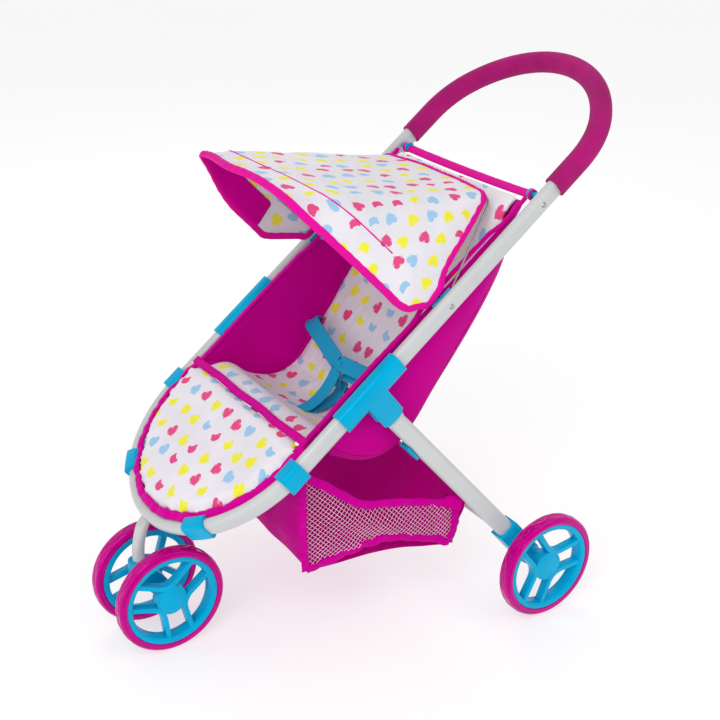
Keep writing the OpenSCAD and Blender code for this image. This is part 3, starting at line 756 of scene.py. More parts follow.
def unwrap(obj, rule):
    """Gives each vertex the (u, v) in metres that rule works out from its place in mm."""
    mesh = obj.data
    while mesh.uv_layers:
        mesh.uv_layers.remove(mesh.uv_layers[0])
    layer = mesh.uv_layers.new(name="UVMap")
    flat = [rule((v.co.x / MM, (v.co.y - AXLE_Y) / MM, v.co.z / MM)) for v in mesh.vertices]
    for loop in mesh.loops:
        layer.data[loop.index].uv = flat[loop.vertex_index]


def inflate(obj, voxel, pressure, cap, frames=20):
    """Voxel remesh, a short Cloth run with air pressure, each move capped, then one subdivision."""
    remesh = obj.modifiers.new("remesh", "REMESH")
    remesh.mode = "VOXEL"
    remesh.voxel_size = voxel * MM
    apply_modifiers(obj)
    before = np.array([v.co for v in obj.data.vertices], float)
    swell = obj.modifiers.new("cloth", "CLOTH")
    settings = swell.settings
    settings.quality = 6
    settings.mass = 0.25
    settings.tension_stiffness = 12
    settings.compression_stiffness = 8
    settings.bending_stiffness = 0.4
    settings.use_pressure = True
    settings.uniform_pressure_force = pressure
    settings.effector_weights.gravity = 0
    swell.point_cache.frame_start = 1
    swell.point_cache.frame_end = frames
    scene = bpy.context.scene
    for number in range(1, frames + 1):
        scene.frame_set(number)
    apply_modifiers(obj)
    scene.frame_set(1)
    after = np.array([v.co for v in obj.data.vertices], float)
    move = after - before
    size = np.linalg.norm(move, axis=1, keepdims=True)
    limit = cap * MM
    scale = np.where(size > 1e-9, limit * np.tanh(size / limit) / np.maximum(size, 1e-9), 1.0)
    place = before + move * scale
    for vertex, co in zip(obj.data.vertices, place):
        vertex.co = co
    soften(obj, levels=1)
    return obj


def displace(obj, rule):
    """Moves each vertex by the mm offset that rule works out from its place in mm."""
    for v in obj.data.vertices:
        v.co += Vector(rule((v.co.x / MM, (v.co.y - AXLE_Y) / MM, v.co.z / MM))) * MM
    obj.data.update()


def stitches(name, path, normals, slot, length=3.2, space=2.0, width=0.55):
    """A line of separate thread stitches lying on a surface."""
    verts, faces = [], []
    pts = [Vector(p) for p in path]
    walk, travelled = 0.0, 0.0
    spots = []
    for i in range(len(pts) - 1):
        step = (pts[i + 1] - pts[i]).length
        while walk < travelled + step:
            f = (walk - travelled) / step
            spots.append((pts[i].lerp(pts[i + 1], f), (pts[i + 1] - pts[i]).normalized(),
                          Vector(normals[i]).normalized()))
            walk += length + space
        travelled += step
    for p, t, up in spots:
        side = t.cross(up).normalized()
        up = side.cross(t).normalized()
        base = len(verts)
        for f, lift, wide in ((-0.5, -0.1, 0.5), (-0.25, 0.28, 1.0), (0.25, 0.28, 1.0), (0.5, -0.1, 0.5)):
            for a, b in ((-1, 0), (0, 1), (1, 0), (0, -1)):
                verts.append(to_m(p + t * length * f + side * a * width * wide / 2
                                  + up * (lift + b * width * wide / 2)))
        for k in range(3):
            for m in range(4):
                n = (m + 1) % 4
                faces.append((base + 4 * k + m, base + 4 * k + n, base + 4 * k + 4 + n, base + 4 * k + 4 + m))
        faces.append((base + 3, base + 2, base + 1, base))
        faces.append((base + 12, base + 13, base + 14, base + 15))
    return make(name, verts, faces, slot)


# ---- seat ------------------------------------------------------------------------------------

SEAT_HALF = 113.0
# side view of the sling: distance up the tubes, depth behind them
SLING = [(28, -5), (42, 14), (47, 34), (56, 55), (68, 72), (84, 83), (104, 87), (128, 83), (152, 76),
         (180, 68), (210, 59), (240, 50), (268, 41), (296, 29), (320, 14), (345, -3), (364, -6)]


def sling_frame(t):
    """Point of the sling at t, and the direction into the seat, in the tube's (s, d) plane."""
    p = along(SLING, t)
    a, b = along(SLING, max(0.0, t - 0.01)), along(SLING, min(1.0, t + 0.01))
    d = (b - a) / np.linalg.norm(b - a)
    return p, np.array((d[1], -d[0]))


def from_world(p):
    """Inverse of on_tube: x, s, d of a mm point."""
    y, z = p[1] - ELBOW_Y, p[2] - ELBOW_Z
    c, k = math.cos(TUBE_SLOPE), math.sin(TUBE_SLOPE)
    return p[0], y * c + z * k, y * k - z * c


SLING_LENGTH = sum(float(np.linalg.norm(np.array(b) - np.array(a))) for a, b in zip(SLING, SLING[1:]))
sling_table = [along(SLING, k / 240) for k in range(241)]


def seat_uv(p):
    x, s, d = from_world(p)
    gap = [(q[0] - s) ** 2 + (q[1] - d) ** 2 for q in sling_table]
    k = int(np.argmin(gap))
    return x * MM, k / 240 * SLING_LENGTH * MM


def seat_liner():
    """Printed sling: a thin padded sheet from the front band, under the doll and up its back."""
    rows = []
    count = 84
    across = 49
    for side_of, thickness in ((1, 4.0), (-1, -3.2)):
        for i in range(count):
            t = i / (count - 1)
            if side_of < 0:
                t = 1 - t
            p, n = sling_frame(t)
            row = []
            for j in range(across):
                u = -1 + 2 * j / (across - 1)
                x = u * (SEAT_HALF - 5)
                edge = 0.6 + 0.4 * smooth((1 - abs(u)) / 0.10)
                hollow = 5.0 * (1 - u * u) * smooth(t / 0.12) * smooth((1 - t) / 0.2)
                start = smooth(t / 0.06)
                lift = thickness * edge * (0.7 + 0.3 * start) + (3 - hollow) * start
                q = p + n * lift
                row.append(on_tube(x, q[0], q[1]))
            rows.append(row)
    obj = sheet_from("seat_sling", rows, "print_fabric")
    # close the shell: the last row joins the first, and the sides are filled
    work = bmesh.new()
    work.from_mesh(obj.data)
    work.verts.ensure_lookup_table()
    total = len(rows)
    for j in range(across - 1):
        a = (total - 1) * across + j
        work.faces.new([work.verts[k] for k in (a, a + 1, j + 1, j)])
    for j, flip in ((0, False), (across - 1, True)):
        for i in range(count - 1):
            quad = [i * across + j, (i + 1) * across + j,
                    (total - 2 - i) * across + j, (total - 1 - i) * across + j]
            if flip:
                quad.reverse()
            work.faces.new([work.verts[k] for k in quad])
    bmesh.ops.recalc_face_normals(work, faces=work.faces)
    work.to_mesh(obj.data)
    work.free()
    inflate(obj, 3.4, 2.2, 3.0)

    def wrinkle(p):
        x, s, d = from_world(p)
        edge = smooth((SEAT_HALF - abs(x)) / 30)
        height = crease((x, s, d), 34, 2.4, 3) + crease((x * 2.2, s, d), 17, 1.0, 9)
        fold = 1.6 * math.exp(-((s - 62 - 0.10 * x) / 7) ** 2) * math.cos(x / 37)
        rise = max(-1.2, height + fold) * (0.35 + 0.65 * edge) * smooth((s - 28) / 16)
        back = math.sin(TUBE_SLOPE), -math.cos(TUBE_SLOPE)
        return 0, -rise * back[0] * 0.8, -rise * back[1] * 0.8

    displace(obj, wrinkle)
    unwrap(obj, seat_uv)
    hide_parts("seat_liner")
    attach(obj, "frame")
    return obj


def wall_rows(side, x_at, down_to=1.0, count=70, levels=11):
    """Rows of a side wall, from the tube's inner edge down to the sling."""
    rows = []
    for k in range(levels):
        f = k / (levels - 1)
        row = []
        for i in range(count):
            t = i / (count - 1)
            p = along(SLING, t)
            top_s = 28 + (364 - 28) * t
            top = np.array((top_s, -7.0))
            q = top + (p - top) * f * down_to
            row.append(on_tube(side * x_at(t, f), q[0], q[1]))
        rows.append(row)
    return rows


def seat_walls():
    for name, side in (("left", 1), ("right", -1)):

        def x_at(t, f):
            belly = 2.6 * math.sin(math.pi * min(1, f * 1.05)) * smooth(t / 0.2) * smooth((1 - t) / 0.2)
            tuck = 4.0 * smooth((f - 0.8) / 0.2)
            return SEAT_HALF + 2.2 + belly - tuck * 0.3 + crease((t * 300, f * 60, side * 40), 42, 1.8, 5)

        wall = sheet_from(f"seat_wall_{name}", wall_rows(side, x_at), "magenta_fabric")
        soften(wall, levels=1, thickness=1.0, offset=0)
        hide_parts(f"seat_side_{name}")
        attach(wall, "frame")
        # binding along the top edge, beside the tube
        count = 110
        top = []
        for i in range(count):
            s = 14 + (365 - 14) * i / (count - 1)
            # kept inward beside the canopy's pivots, where the folded bow comes to lie
            inward = 4.6 * smooth((s - 190) / 20) * smooth((330 - s) / 20)
            top.append(on_tube(side * (SEAT_HALF + 3.0 - inward), s, -8.6 + 0.7 * math.sin(i / 7.0)))
        up = (0, -math.sin(TUBE_SLOPE), math.cos(TUBE_SLOPE))
        edge = tape(f"seat_top_binding_{name}", top, [up] * count, 6.4, 2.6, "magenta_fabric",
                    pucker=0.25, fold_every=11)
        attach(edge, "frame")
        # piping where the wall meets the sling
        count = 150
        seam = []
        for i in range(count):
            t = 0.015 + 0.97 * i / (count - 1)
            p, n = sling_frame(t)
            q = p + n * 0.6
            seam.append(on_tube(side * (SEAT_HALF - 2.2), q[0], q[1]))
        piping = tape(f"seat_piping_{name}", seam, [(side, 0, 0)] * count, 5.6, 4.6, "binding_deep",
                      pucker=0.12, fold_every=7)
        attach(piping, "frame")


def seat_back_cover():
    """Magenta outer cloth under and behind the printed sling, with a seam near each side."""
    rows = []
    for i in range(70):
        t = i / 69
        p, n = sling_frame(t)
        bulge = 9.0 * smooth(t / 0.05) * smooth((1.0 - t) / 0.02) + 4.0 * smooth((t - 0.45) / 0.18)
        row = []
        for j in range(41):
            u = -1 + 2 * j / 40
            x = u * (SEAT_HALF + 1.2)
            seam = math.exp(-((abs(x) - (SEAT_HALF - 14)) / 1.6) ** 2)
            out = bulge * smooth((1 - abs(u)) / 0.08) + 0.8 * (1 - u * u) * 3 - seam * 1.3
            out += crease((x, t * 420, 0), 48, 2.2, 12) * smooth((1 - abs(u)) / 0.2)
            q = p - n * (out + 0.4)
            row.append(on_tube(x, q[0], q[1]))
        rows.append(row)
    cover = sheet_from("seat_outer_cover", rows, "magenta_fabric")
    soften(cover, levels=1, thickness=1.0, offset=1)
    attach(cover, "frame")


def front_band():
    count = 90
    path, normals = [], []
    for i in range(count):
        u = -1 + 2 * i / (count - 1)
        x = 121.5 * u
        sag = 3.2 * (1 - u * u)
        path.append(on_tube(x, 27.5 + 0.6 * math.sin(9 * u), -11.5 + sag + 1.5 * abs(u) ** 4))
        normals.append((0, -math.sin(LOOP_SLOPE), math.cos(LOOP_SLOPE)))
    band = tape("seat_front_band", path, normals, 9.0, 3.6, "binding_deep", pucker=0.35, fold_every=8)
    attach(band, "frame")
    lifted = [Vector(p) + Vector(n) * 2.05 for p, n in zip(path, normals)]
    t = Vector((0, math.cos(LOOP_SLOPE), math.sin(LOOP_SLOPE)))
    for k, shift in enumerate((-3.2, 3.2)):
        line = stitches(f"seat_front_band_stitches_{k + 1}", [p + t * shift for p in lifted], normals,
                        "binding_deep")
        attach(line, "frame")


# ---- footrest --------------------------------------------------------------------------------

FOOT_R = 119.0


def footrest():
    """Padded printed panel inside the front loop."""
    rings, spokes = 26, 120
    verts, faces = [], []
    for layer in (0, 1):
        for k in range(rings + 1):
            f = k / rings
            for m in range(spokes):
                q = 2 * math.pi * m / spokes
                x, y = (FOOT_R + 2) * math.cos(q), (FOOT_R + 2) * math.sin(q)
                if y > 0:
                    y = 28 * abs(math.sin(q)) ** 0.35
                    x = math.copysign((FOOT_R + 2) * abs(math.cos(q)) ** 0.35, x)
                y = y * f - (1 - f) * 42
                x *= f
                edge = smooth((1 - f) / 0.18)
                crown = 1.6 * (1 - f * f)
                top = 6.6 + 4.6 * (0.35 + 0.65 * edge) + crown
                verts.append(to_m(on_loop(x, y, top if layer == 0 else 6.2 - edge)))
    n = (rings + 1) * spokes
    for layer in (0, 1):
        for k in range(rings):
            for m in range(spokes):
                a = layer * n + k * spokes + m
                b = layer * n + k * spokes + (m + 1) % spokes
                faces.append((a, b, b + spokes, a + spokes))
    rim = rings * spokes
    for m in range(spokes):
        a, b = rim + m, rim + (m + 1) % spokes
        faces.append((a, b, b + n, a + n))
    obj = make("footrest_panel", verts, faces, "print_fabric")
    work = bmesh.new()
    work.from_mesh(obj.data)
    bmesh.ops.remove_doubles(work, verts=work.verts, dist=2e-5)
    bmesh.ops.recalc_face_normals(work, faces=work.faces)
    work.to_mesh(obj.data)
    work.free()
    inflate(obj, 3.4, 2.6, 3.5)
    normal = Vector((0, -math.sin(LOOP_SLOPE), math.cos(LOOP_SLOPE)))

    def wrinkle(p):
        y = (p[1] - ELBOW_Y) / math.cos(LOOP_SLOPE)
        r = math.hypot(p[0], y)
        q = math.atan2(y, p[0])
        near_edge = smooth((r - 84) / 30)
        gather = 0.30 * math.sin(q * 31) * near_edge * (0.6 + 0.4 * math.sin(q * 7.3 + 1))
        height = crease(p, 52, 2.6, 21) + crease(p, 21, 0.8, 33) + gather
        return tuple(normal * height)

    displace(obj, wrinkle)
    unwrap(obj, lambda p: (p[0] * MM, (p[1] - ELBOW_Y) / math.cos(LOOP_SLOPE) * MM))
    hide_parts("footrest")
    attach(obj, "frame")
    # puckered binding around the arc, from corner to corner
    count = 260
    path, normals = [], []
    for i in range(count):
        f = i / (count - 1)
        q = math.radians(180 - 13 + f * (180 + 26))
        r = FOOT_R + 1.6 + 0.6 * math.sin(q * 17) + 0.3 * math.sin(q * 29 + 1)
        y = r * math.sin(q)
        x = r * math.cos(q)
        h = 8.4 + 0.9 * math.sin(q * 23 + 0.6) + 0.5 * math.sin(q * 41)
        path.append(on_loop(x, y, h))
        outward = Vector((math.cos(q), math.sin(q) * math.cos(LOOP_SLOPE),
                          math.sin(q) * math.sin(LOOP_SLOPE)))
        normals.append(tuple(normal * 0.9 + outward * 0.35))
    edge = tape("footrest_binding", path, normals, 9.6, 4.0, "binding_deep", pucker=0.40, fold_every=12)
    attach(edge, "frame")
    inner = [Vector(p) + Vector(n) * 1.9 - (Vector(p) - Vector(on_loop(0, 0, 8))).normalized() * 3.0
             for p, n in zip(path, normals)]
    line = stitches("footrest_binding_stitches", inner, normals, "binding_deep")
    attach(line, "frame")
    # magenta cloth under the panel
    rows = []
    for k in range(10):
        f = k / 9
        row = []
        for m in range(73):
            q = math.radians(180 + 180 * m / 72)
            r = 70 + (FOOT_R + 2.0 - 70) * f
            sag = 7.5 * math.sin(math.pi * min(1, 0.25 + f * 0.75)) - crease((q * 60, r, 0), 25, 1.5, 8)
            row.append(on_loop(r * math.cos(q), r * math.sin(q), 3.6 - sag))
        rows.append(row)
    under = sheet_from("footrest_underside", rows, "magenta_fabric")
    soften(under, levels=1, thickness=0.9, offset=0)
    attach(under, "frame")


# ---- straps ----------------------------------------------------------------------------------


def strap(name, places, normals, width, thickness=1.5):
    """Webbing through places given as on_tube takes them."""
    path = smooth_path([on_tube(*place) for place in places], 40)
    spread = smooth_path(normals, 40)
    return tape(name, path, [tuple(v) for v in spread], width, thickness, "webbing_cyan")


def top_strap():
    hook_s = 375
    path, normals = [], []
    for i in range(60):
        u = -1 + 2 * i / 59
        path.append(on_tube(109 * u, hook_s - 1.5, -2.4 + 3.0 * (1 - u * u)))
        normals.append((0, -math.sin(TUBE_SLOPE), math.cos(TUBE_SLOPE)))
    band = tape("top_strap_band", path, normals, 10.0, 2.2, "binding_pink", pucker=0.15, fold_every=16)
    loops = []
    for side in (1, -1):
        ring, up = [], []
        for k in range(25):
            q = 2 * math.pi * k / 24
            ring.append(on_tube(side * 113.5, hook_s + 5.2 * math.cos(q) - 1.0, -2 - 5.2 * math.sin(q)))
            up.append(tuple(Vector(on_tube(0, math.cos(q), -math.sin(q))) - Vector(on_tube(0, 0, 0))))
        loops.append(tape(f"loop{side}", ring[:-1], up[:-1], 3.4, 2.0, "binding_pink", closed=True))
    strap_piece = join("top_strap_band", [band] + loops)
    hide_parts("top_strap")
    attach(strap_piece, "frame")


def harness():
    """Three-point harness: a crotch strap doubled back through the buckle, and a belt to each side."""
    near_turn = [(-0.1, -0.7, 0.7), (-0.2, -0.7, 0.7), (-0.4, -0.6, 0.7)]
    parts = [
        strap("crotch_upper", [(2, 57, 50), (3, 74, 57), (2, 98, 58), (0, 127, 49)],
              [(0, -0.9, 0.4), (0.15, -0.8, 0.6), (0.1, -0.7, 0.7), (0, -0.7, 0.7)], 16.5),
        strap("crotch_lower", [(2, 58, 52), (3, 75, 66), (2, 97, 75), (0, 116, 72)],
              [(0, -0.9, 0.4), (0.1, -0.7, 0.7), (0, -0.5, 0.85), (0, -0.6, 0.8)], 16.0),
        strap("belt_far", [(-109, 158, 66), (-86, 148, 47), (-45, 137, 45), (-3, 126, 47)],
              [(0.5, -0.6, 0.6), (0.2, -0.8, 0.5), (0.1, -0.8, 0.6), (0, -0.8, 0.6)], 19.0, 1.6),
        strap("belt_near", [(3, 126, 47), (38, 131, 52), (78, 142, 58), (109, 152, 66)],
              [(0, -0.8, 0.6)] + near_turn, 17.5, 1.6),
        strap("belt_near_under", [(5, 120, 60), (40, 127, 62), (80, 139, 66), (109, 148, 72)],
              [(0, -0.7, 0.7)] + near_turn, 13.5, 1.4),
        strap("junction_loop", [(-2, 133, 50), (0, 124, 46.6), (1, 113, 58), (1, 106, 71)],
              [(0, -0.55, 0.83), (0, -0.8, 0.6), (0, -0.95, 0.2), (0, -0.95, 0.1)], 15.5),
    ]
    webbing_piece = join("harness_webbing", parts)
    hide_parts("harness_straps")
    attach(webbing_piece, "frame")
    soft_edged("harness_buckle", 0.8)


seat_liner()
seat_walls()
seat_back_cover()
front_band()
footrest()
top_strap()
harness()


# ---- canopy ----------------------------------------------------------------------------------

hinge = {j["name"]: j for j in frame["joints"]}
PIVOT_Y = (hinge["canopy_fold"]["pos_m"][1] - AXLE_Y) / MM
PIVOT_Z = hinge["canopy_fold"]["pos_m"][2] / MM
REAR_ANGLE = 52.0
BOW_ANGLE = 135.0
ROOF_X = 120.4


def half_arch(foot, top, corner, limb_top, crown, start, steps):
    """Half outline [x, r] of an arch: leaning limb, round corner, crown."""
    limb = [(foot + (top - foot) * k / steps, start + (limb_top - start) * k / steps)
            for k in range(steps + 1)]
    bend = [(top - corner * (1 - math.cos(q)), limb_top + (crown - 3 - limb_top) * math.sin(q))
            for q in (math.pi / 2 * k / steps for k in range(1, steps + 1))]
    flat = [((top - corner) * (1 - k / steps), crown - 3 + 3 * math.sin(math.pi / 2 * k / steps))
            for k in range(1, steps + 1)]
    return limb + bend + flat


def whole_arch(half):
    return half + [(-x, r) for x, r in reversed(half[:-1])]


ARCH_STEPS = 12
rear_arch = whole_arch(half_arch(ROOF_X, 95, 14, 104, 121, 15, ARCH_STEPS))
bow_arch = whole_arch(half_arch(ROOF_X, 119.4, 32, 138, 178, 15, ARCH_STEPS))
near_rim = half_arch(ROOF_X, ROOF_X, 20, 167, 206, 18, ARCH_STEPS)
far_rim = half_arch(ROOF_X, ROOF_X, 13, 167, 206, 18, ARCH_STEPS)
rim_arch = near_rim + [(-x, r * (1 - 0.06 * smooth(x / 110))) for x, r in reversed(far_rim[:-1])]


def about_pivot(x, r, degrees):
    q = math.radians(degrees)
    return np.array((x, PIVOT_Y + r * math.cos(q), PIVOT_Z + r * math.sin(q)))


def rear_point(x, r):
    """The rear edge follows its bow and turns up beside the pivots."""
    return about_pivot(x, r, REAR_ANGLE - 2 + 52 * math.exp(-(r - 15) / 30))


def rim_point(x, r):
    """The front rim's sides are straight lines that pass below the pivots; its middle is lifted."""
    slope = 133.2 + math.degrees(math.asin(min(1.0, (39 - 3.7 * x / 120) / r)))
    slope -= 4.5 * smooth(-x / 110) * smooth((r - 120) / 60)
    p = about_pivot(x, r, min(175 + 6 * x / 120, slope))
    p[2] += 12 * (1 - (x / 120) ** 2)
    return p


rear_edge = [rear_point(x, r) for x, r in rear_arch]
bow_edge = [about_pivot(x, r, BOW_ANGLE) for x, r in bow_arch]
rim_edge = [rim_point(x, r) for x, r in rim_arch]
COLS = len(rear_edge)
ROOF_ROWS = 34
VISOR_ROWS = 16


def canopy_point(f, j, inward=0.0):
    """f runs 0 at the rear edge, 1 at the bow, 2 at the front rim; j is the place on the arch."""
    u = j / (COLS - 1) * 2 - 1
    if f <= 1:
        p = rear_edge[j] * (1 - f) + bow_edge[j] * f
        sag = 4.0 * math.sin(math.pi * f) * smooth((0.55 - abs(u)) / 0.5)
        belly = 2.5 * math.sin(math.pi * f) * math.exp(-((abs(u) - 0.72) / 0.16) ** 2)
    else:
        g = f - 1
        p = bow_edge[j] * (1 - g) + rim_edge[j] * g
        sag = 1.5 * math.sin(math.pi * g) * smooth((0.6 - abs(u)) / 0.5)
        belly = -1.5 * math.sin(math.pi * g) * math.exp(-((abs(u) - 0.7) / 0.2) ** 2)
        sag += 1.4 * g * math.sin(u * 9)
    p = p.copy()
    p[2] -= sag
    p[0] += math.copysign(belly, p[0]) if abs(p[0]) > 60 else 0
    soft = 0.35 + 0.65 * math.sin(math.pi * min(1, f / 2))
    w = crease(p, 46, 3.0, 4) + crease((p[0] * 1.6, p[1], p[2]), 22, 1.0, 17)
    # folds that run from the rear corners towards the front
    near_corner = math.exp(-((abs(u) - 0.42) / 0.13) ** 2) * math.sin(math.pi * min(1, max(0, f)))
    w += math.sin((p[1] - 150) / 11 + abs(p[0]) / 9) * near_corner
    centre = np.array((0, PIVOT_Y, PIVOT_Z - 20))
    away = (p - centre) * np.array((0.9, 1, 1))
    away /= np.linalg.norm(away)
    return p + away * (w * soft - inward)


def weight_by_angle(obj, low=REAR_ANGLE + 4, high=BOW_ANGLE - 3):
    """Each point turns with the bow by its own angle about the pivots, not by its distance."""
    layer = obj.data.attributes["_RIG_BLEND"]
    values = []
    for v in obj.data.vertices:
        y, z = (v.co.y - AXLE_Y) / MM - PIVOT_Y, v.co.z / MM - PIVOT_Z
        values.append(smooth((math.degrees(math.atan2(z, y)) - low) / (high - low)))
    layer.data.foreach_set("value", values)


def follow_bow(obj):
    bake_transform(obj, "frame", "canopy_bow", start=tuple(to_m(about_pivot(0, 120, REAR_ANGLE))),
             end=tuple(to_m(about_pivot(0, 178, BOW_ANGLE))))
    weight_by_angle(obj)


def canopy():
    levels = [k / ROOF_ROWS for k in range(ROOF_ROWS)] + [1 + k / VISOR_ROWS for k in range(VISOR_ROWS + 1)]
    rows = [[canopy_point(f, j) for j in range(COLS)] for f in levels]
    hood = sheet_from("canopy_hood", rows, "print_fabric")
    soften(hood, levels=1, thickness=0.9, offset=0)
    unwrap(hood, lambda p: (p[1] * MM, (p[0] + math.copysign(max(0.0, 480 - p[2]) * smooth(abs(p[0]) / 90),
                                                              p[0])) * MM))
    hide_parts("canopy_roof", "canopy_visor")
    follow_bow(hood)
    # facing band inside the front rim
    inside = [[canopy_point(1 + g, j, 1.6) for j in range(6, COLS - 6)]
              for g in (0.2, 0.36, 0.52, 0.68, 0.84, 0.97)]
    facing = sheet_from("canopy_facing", inside, "magenta_fabric")
    soften(facing, levels=1, thickness=0.8, offset=0)
    follow_bow(facing)
    # seam that hides the bow
    seam_path = [canopy_point(1.0, j, -0.5) for j in range(7, COLS - 7)]
    seam_up = [tuple(p - np.array((0, PIVOT_Y, PIVOT_Z))) for p in seam_path]
    seam = tape("canopy_bow_seam", seam_path, seam_up, 1.6, 0.9, "binding_pink", pucker=0.1, fold_every=6)
    follow_bow(seam)
    # binding all round the edge
    loop = [canopy_point(0, j) for j in range(COLS)] + [canopy_point(2, j) for j in range(COLS - 1, -1, -1)]
    path = smooth_path([tuple(p) for p in loop] + [tuple(loop[0])], 420)[:-1]
    normals = []
    for p in path:
        away = p - np.array((0, PIVOT_Y, PIVOT_Z - 30))
        away[0] *= 1.1
        normals.append(tuple(away))
    binding = tape("canopy_binding", path, normals, 8.0, 3.0, "binding_pink", closed=True, pucker=0.3,
                   fold_every=13)
    follow_bow(binding)
    out = [Vector(p) + Vector(n).normalized() * 1.75 for p, n in zip(path, normals)]
    thread = stitches("canopy_binding_stitches", out, normals, "binding_pink")
    follow_bow(thread)


# ---- basket ----------------------------------------------------------------------------------

# the side net's upper and lower edge, each point as (x, y, z)
TOP_HEM = [(117, 113, 213), (123, 145, 190), (128, 176, 166), (131, 205, 160), (135, 245, 150),
           (141, 287, 139)]
LOW_HEM = [(117, 115, 101), (123, 161, 110), (127, 188, 116), (131, 214, 115), (135, 250, 105),
           (140, 281, 91)]


def basket_joint(obj):
    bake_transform(obj, "frame", "rear_legs", start=tuple(to_m((0, 128, 120))), end=tuple(to_m((0, 262, 120))))


def net_panel(name, side):
    """Side panel of knotted net, cut from one even diamond net."""
    pitch = 5.6
    top = smooth_path(TOP_HEM, 60)
    low = smooth_path(LOW_HEM, 60)

    def lift(y, z):
        """Place on the panel for a flat place (y, z), or None outside it."""
        i = int(np.argmin([abs(p[1] - y) for p in top]))
        a, b = top[i], low[i]
        if not (b[2] - 2.0 <= z <= a[2] + 2.0) or not (112.5 <= y <= 287):
            return None
        f = (a[2] - z) / (a[2] - b[2])
        x = a[0] * (1 - f) + b[0] * f
        sag = 3.0 * math.sin(math.pi * min(1, max(0, f))) * smooth((y - 112) / 40) * smooth((290 - y) / 30)
        ripple = 1.9 * math.sin((z + 0.42 * y) / 5.6) * math.exp(-((y - 190) / 48) ** 2)
        return side * (x + sag + ripple), y - 2 * math.sin(math.pi * f) * smooth((y - 150) / 60), z

    keys, verts, faces = {}, [], []

    def vertex(i, j):
        if (i, j) not in keys:
            p = lift(112 + i * pitch / 2, 88 + j * pitch / 2)
            if p is None:
                return None
            keys[(i, j)] = len(verts)
            verts.append(to_m(p))
        return keys[(i, j)]

    for i in range(1, 108):
        for j in range(1, 78):
            if (i + j) % 2:
                continue
            ring = [vertex(*c) for c in ((i - 1, j), (i, j - 1), (i + 1, j), (i, j + 1))]
            if None not in ring:
                faces.append(tuple(ring))
    net = make(name, verts, faces, "net_pink")
    wire = net.modifiers.new("threads", "WIREFRAME")
    wire.thickness = 0.66 * MM
    wire.use_replace = True
    wire.use_even_offset = False
    apply_modifiers(net)
    for face in net.data.polygons:
        face.use_smooth = True
    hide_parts("basket_side_left" if side > 0 else "basket_side_right")
    basket_joint(net)
    return net


# the bag in side view, from the front wall's top edge round to the rear wall's: (y, z, half width)
BAG_SIDE = [(112, 212, 118), (112.5, 165, 118), (114, 125, 118), (116, 104, 117.5), (126, 99, 118),
            (165, 99, 122), (215, 99, 130), (258, 93, 137), (279, 91, 140), (288, 112, 143),
            (297, 134, 146), (292, 150, 146), (268, 180, 141), (236, 219, 135)]


def basket_bag():
    """Front wall, floor and rear wall, one cloth that sags between its corners."""
    side = smooth_path([(p[2], p[0], p[1]) for p in BAG_SIDE], 96)
    rows = []
    for i, (half, y, z) in enumerate(side):
        f = i / (len(side) - 1)
        row = []
        for j in range(61):
            u = -1 + 2 * j / 60
            x = u * half
            flat = 1 - u * u
            front = smooth((0.30 - f) / 0.12)
            floor = smooth((f - 0.24) / 0.1) * smooth((0.66 - f) / 0.1)
            rear = smooth((f - 0.62) / 0.1)
            low_edge = math.exp(-((f - 0.30) / 0.10) ** 2)
            dz = 9.0 * flat * low_edge + 0.8 * low_edge * math.sin(u * 8.5 + 0.6)
            dz -= 5.0 * flat * floor
            dy = -7.0 * flat * front * math.sin(math.pi * min(1, f / 0.33))
            dy += 10.0 * flat * rear * math.sin(math.pi * min(1, max(0, (f - 0.6) / 0.4)))
            drop = rear * flat * 16 * smooth((f - 0.8) / 0.2)
            fold = 2.2 * math.sin(x / 9.5 + 0.4 * math.sin(z / 20)) * smooth((1 - abs(u)) / 0.2)
            dy += fold * (0.35 * front + 0.9 * rear)
            dz += fold * 0.25 * floor
            w = crease((x, y, z), 38, 3.4, 14)
            row.append((x, y + dy + w * (front + rear), z + dz - drop + w * floor))
        rows.append(row)
    bag = sheet_from("basket_bag", rows, "bag_magenta")
    soften(bag, levels=1, thickness=0.9, offset=0)
    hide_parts("basket_front", "basket_floor", "basket_rear")
    basket_joint(bag)


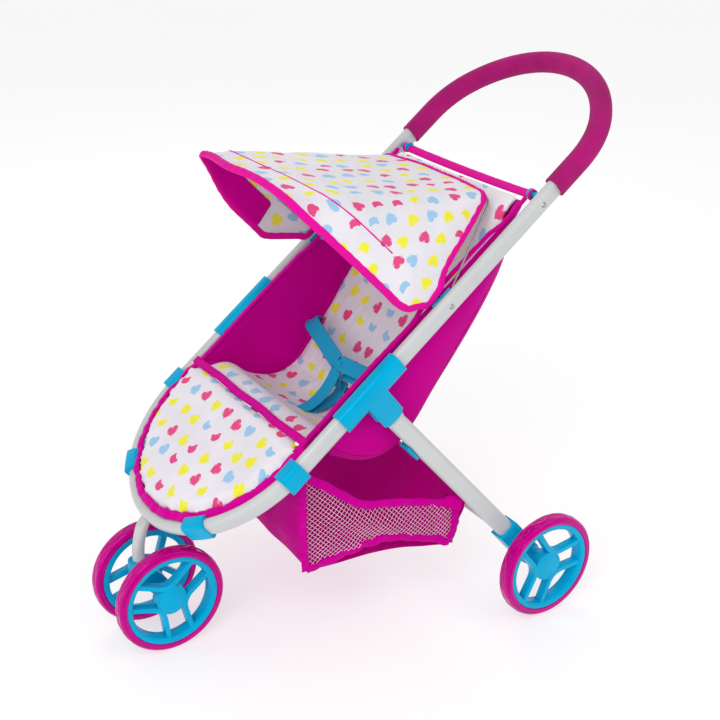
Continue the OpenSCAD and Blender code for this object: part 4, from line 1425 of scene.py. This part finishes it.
def basket_hems():
    for name, side in (("left", 1), ("right", -1)):
        def mirror(points):
            return [(side * p[0], p[1], p[2]) for p in points]
        top = smooth_path(mirror(TOP_HEM), 120)
        low = smooth_path(mirror(LOW_HEM), 120)
        front = smooth_path(mirror([(117.5, 113.5, 211), (118.5, 112.5, 160), (117.5, 114.5, 101)]), 70)
        rear = smooth_path(mirror([(141, 287, 139), (143, 286, 115), (140, 281, 91)]), 40)
        parts = []
        for k, (run_, width) in enumerate(((top, 9.5), (low, 9.0), (front, 8.5), (rear, 9.5))):
            normals, path = [], []
            for i, p in enumerate(run_):
                wave = 1.1 * math.sin(i * 0.42 + k) + 0.7 * math.sin(i * 0.17 + 2 * k)
                if k == 3:
                    wave *= 0.3
                rise = wave if k == 1 else 0.4 * wave
                path.append((p[0] + side * (1.0 + 0.35 * wave), p[1], p[2] + rise))
                normals.append((side, 0.15 * math.sin(i * 0.6), 0.18 * math.sin(i * 0.35 + 1)))
            parts.append(tape(f"hem{k}", path, normals, width, 2.0, "hem_magenta",
                              pucker=0.35, fold_every=10))
        hem = join(f"basket_hem_{name}", parts)
        basket_joint(hem)
        # strip that carries the rear corner around the leg
        wrap = [(side * p[0], p[1], p[2]) for p in ((139, 276, 141), (144, 284, 142), (147, 292, 138))]
        corner = tape(f"basket_corner_{name}", smooth_path(wrap, 40), [(side, 0.3, 0.2)] * 40, 15, 2.0,
                      "magenta_fabric", pucker=0.3, fold_every=12)
        basket_joint(corner)
    snaps = []
    for x, y, z in ((90, 262, 166), (122, 287, 141), (-90, 262, 166), (-122, 287, 141)):
        verts, faces = revolve([(0.0, 4.2), (0.9, 4.2), (1.5, 3.4), (1.6, 1.2), (2.2, 0.9), (2.3, 0.01)], 28)
        turned = []
        for a, b, c in verts:
            v = Matrix.Rotation(math.radians(128), 3, "X") @ Vector((b, c, a))
            turned.append(to_m((x + v.x, y + v.y, z + v.z)))
        snaps.append(make(f"snap{x}", turned, faces, "plastic_snap"))
    snap = join("basket_snaps", snaps)
    basket_joint(snap)


canopy()
basket_bag()
net_panel("basket_net_left", 1)
net_panel("basket_net_right", -1)
basket_hems()

# ---- floor, light and camera -----------------------------------------------------------------


def studio():
    """White floor, even white surroundings and three soft lamps."""
    size = 14.0
    mesh = bpy.data.meshes.new("floor")
    mesh.from_pydata([(-size, -size, 0), (size, -size, 0), (size, size, 0), (-size, size, 0)], [],
                     [(0, 1, 2, 3)])
    floor = bpy.data.objects.new("floor", mesh)
    bpy.context.scene.collection.objects.link(floor)
    s = Shader("floor_white", (0.46, 0.46, 0.46), 0.8, Emission_Strength=0.56)
    s.bsdf.inputs["Emission Color"].default_value = (1.0, 1.0, 1.0, 1)
    s.colour(s.mix(s.span(s.noise(s.place(), 0.7, 2), 0.2, 0.8), (0.45, 0.45, 0.45), (0.47, 0.47, 0.47)))
    mesh.materials.append(s.material)

    world = bpy.data.worlds.new("studio")
    bpy.context.scene.world = world
    world.use_nodes = True
    background = world.node_tree.nodes["Background"]
    background.inputs[0].default_value = (1.0, 1.0, 1.0, 1)
    background.inputs[1].default_value = 0.74

    def lamp(name, place, size_m, watts):
        data = bpy.data.lights.new(name, "AREA")
        data.energy = watts
        data.shape = "DISK"
        data.size = size_m
        obj = bpy.data.objects.new(name, data)
        obj.location = place
        aim = Vector((0, 0, 0.28)) - obj.location
        obj.rotation_euler = aim.to_track_quat("-Z", "Y").to_euler()
        bpy.context.scene.collection.objects.link(obj)

    lamp("key", (1.3, -1.3, 1.9), 1.2, 16)
    lamp("front", (1.0, -1.9, 0.7), 1.2, 6)
    lamp("fill", (1.9, 0.9, 1.3), 1.4, 6)
    lamp("rim", (-1.5, 0.6, 1.6), 1.0, 5)
    bpy.context.scene.view_settings.view_transform = "Standard"


def camera():
    data = bpy.data.cameras.new("camera")
    data.lens = 64.23
    data.sensor_width = 36.0
    data.clip_end = 60
    cam = bpy.data.objects.new("camera", data)
    cam.location = to_m((1091.4, -439.5, 840.4))
    target = to_m((0, 256.8, 260.0))
    cam.rotation_euler = (target - cam.location).to_track_quat("-Z", "Y").to_euler()
    bpy.context.scene.collection.objects.link(cam)
    bpy.context.scene.camera = cam


studio()
camera()
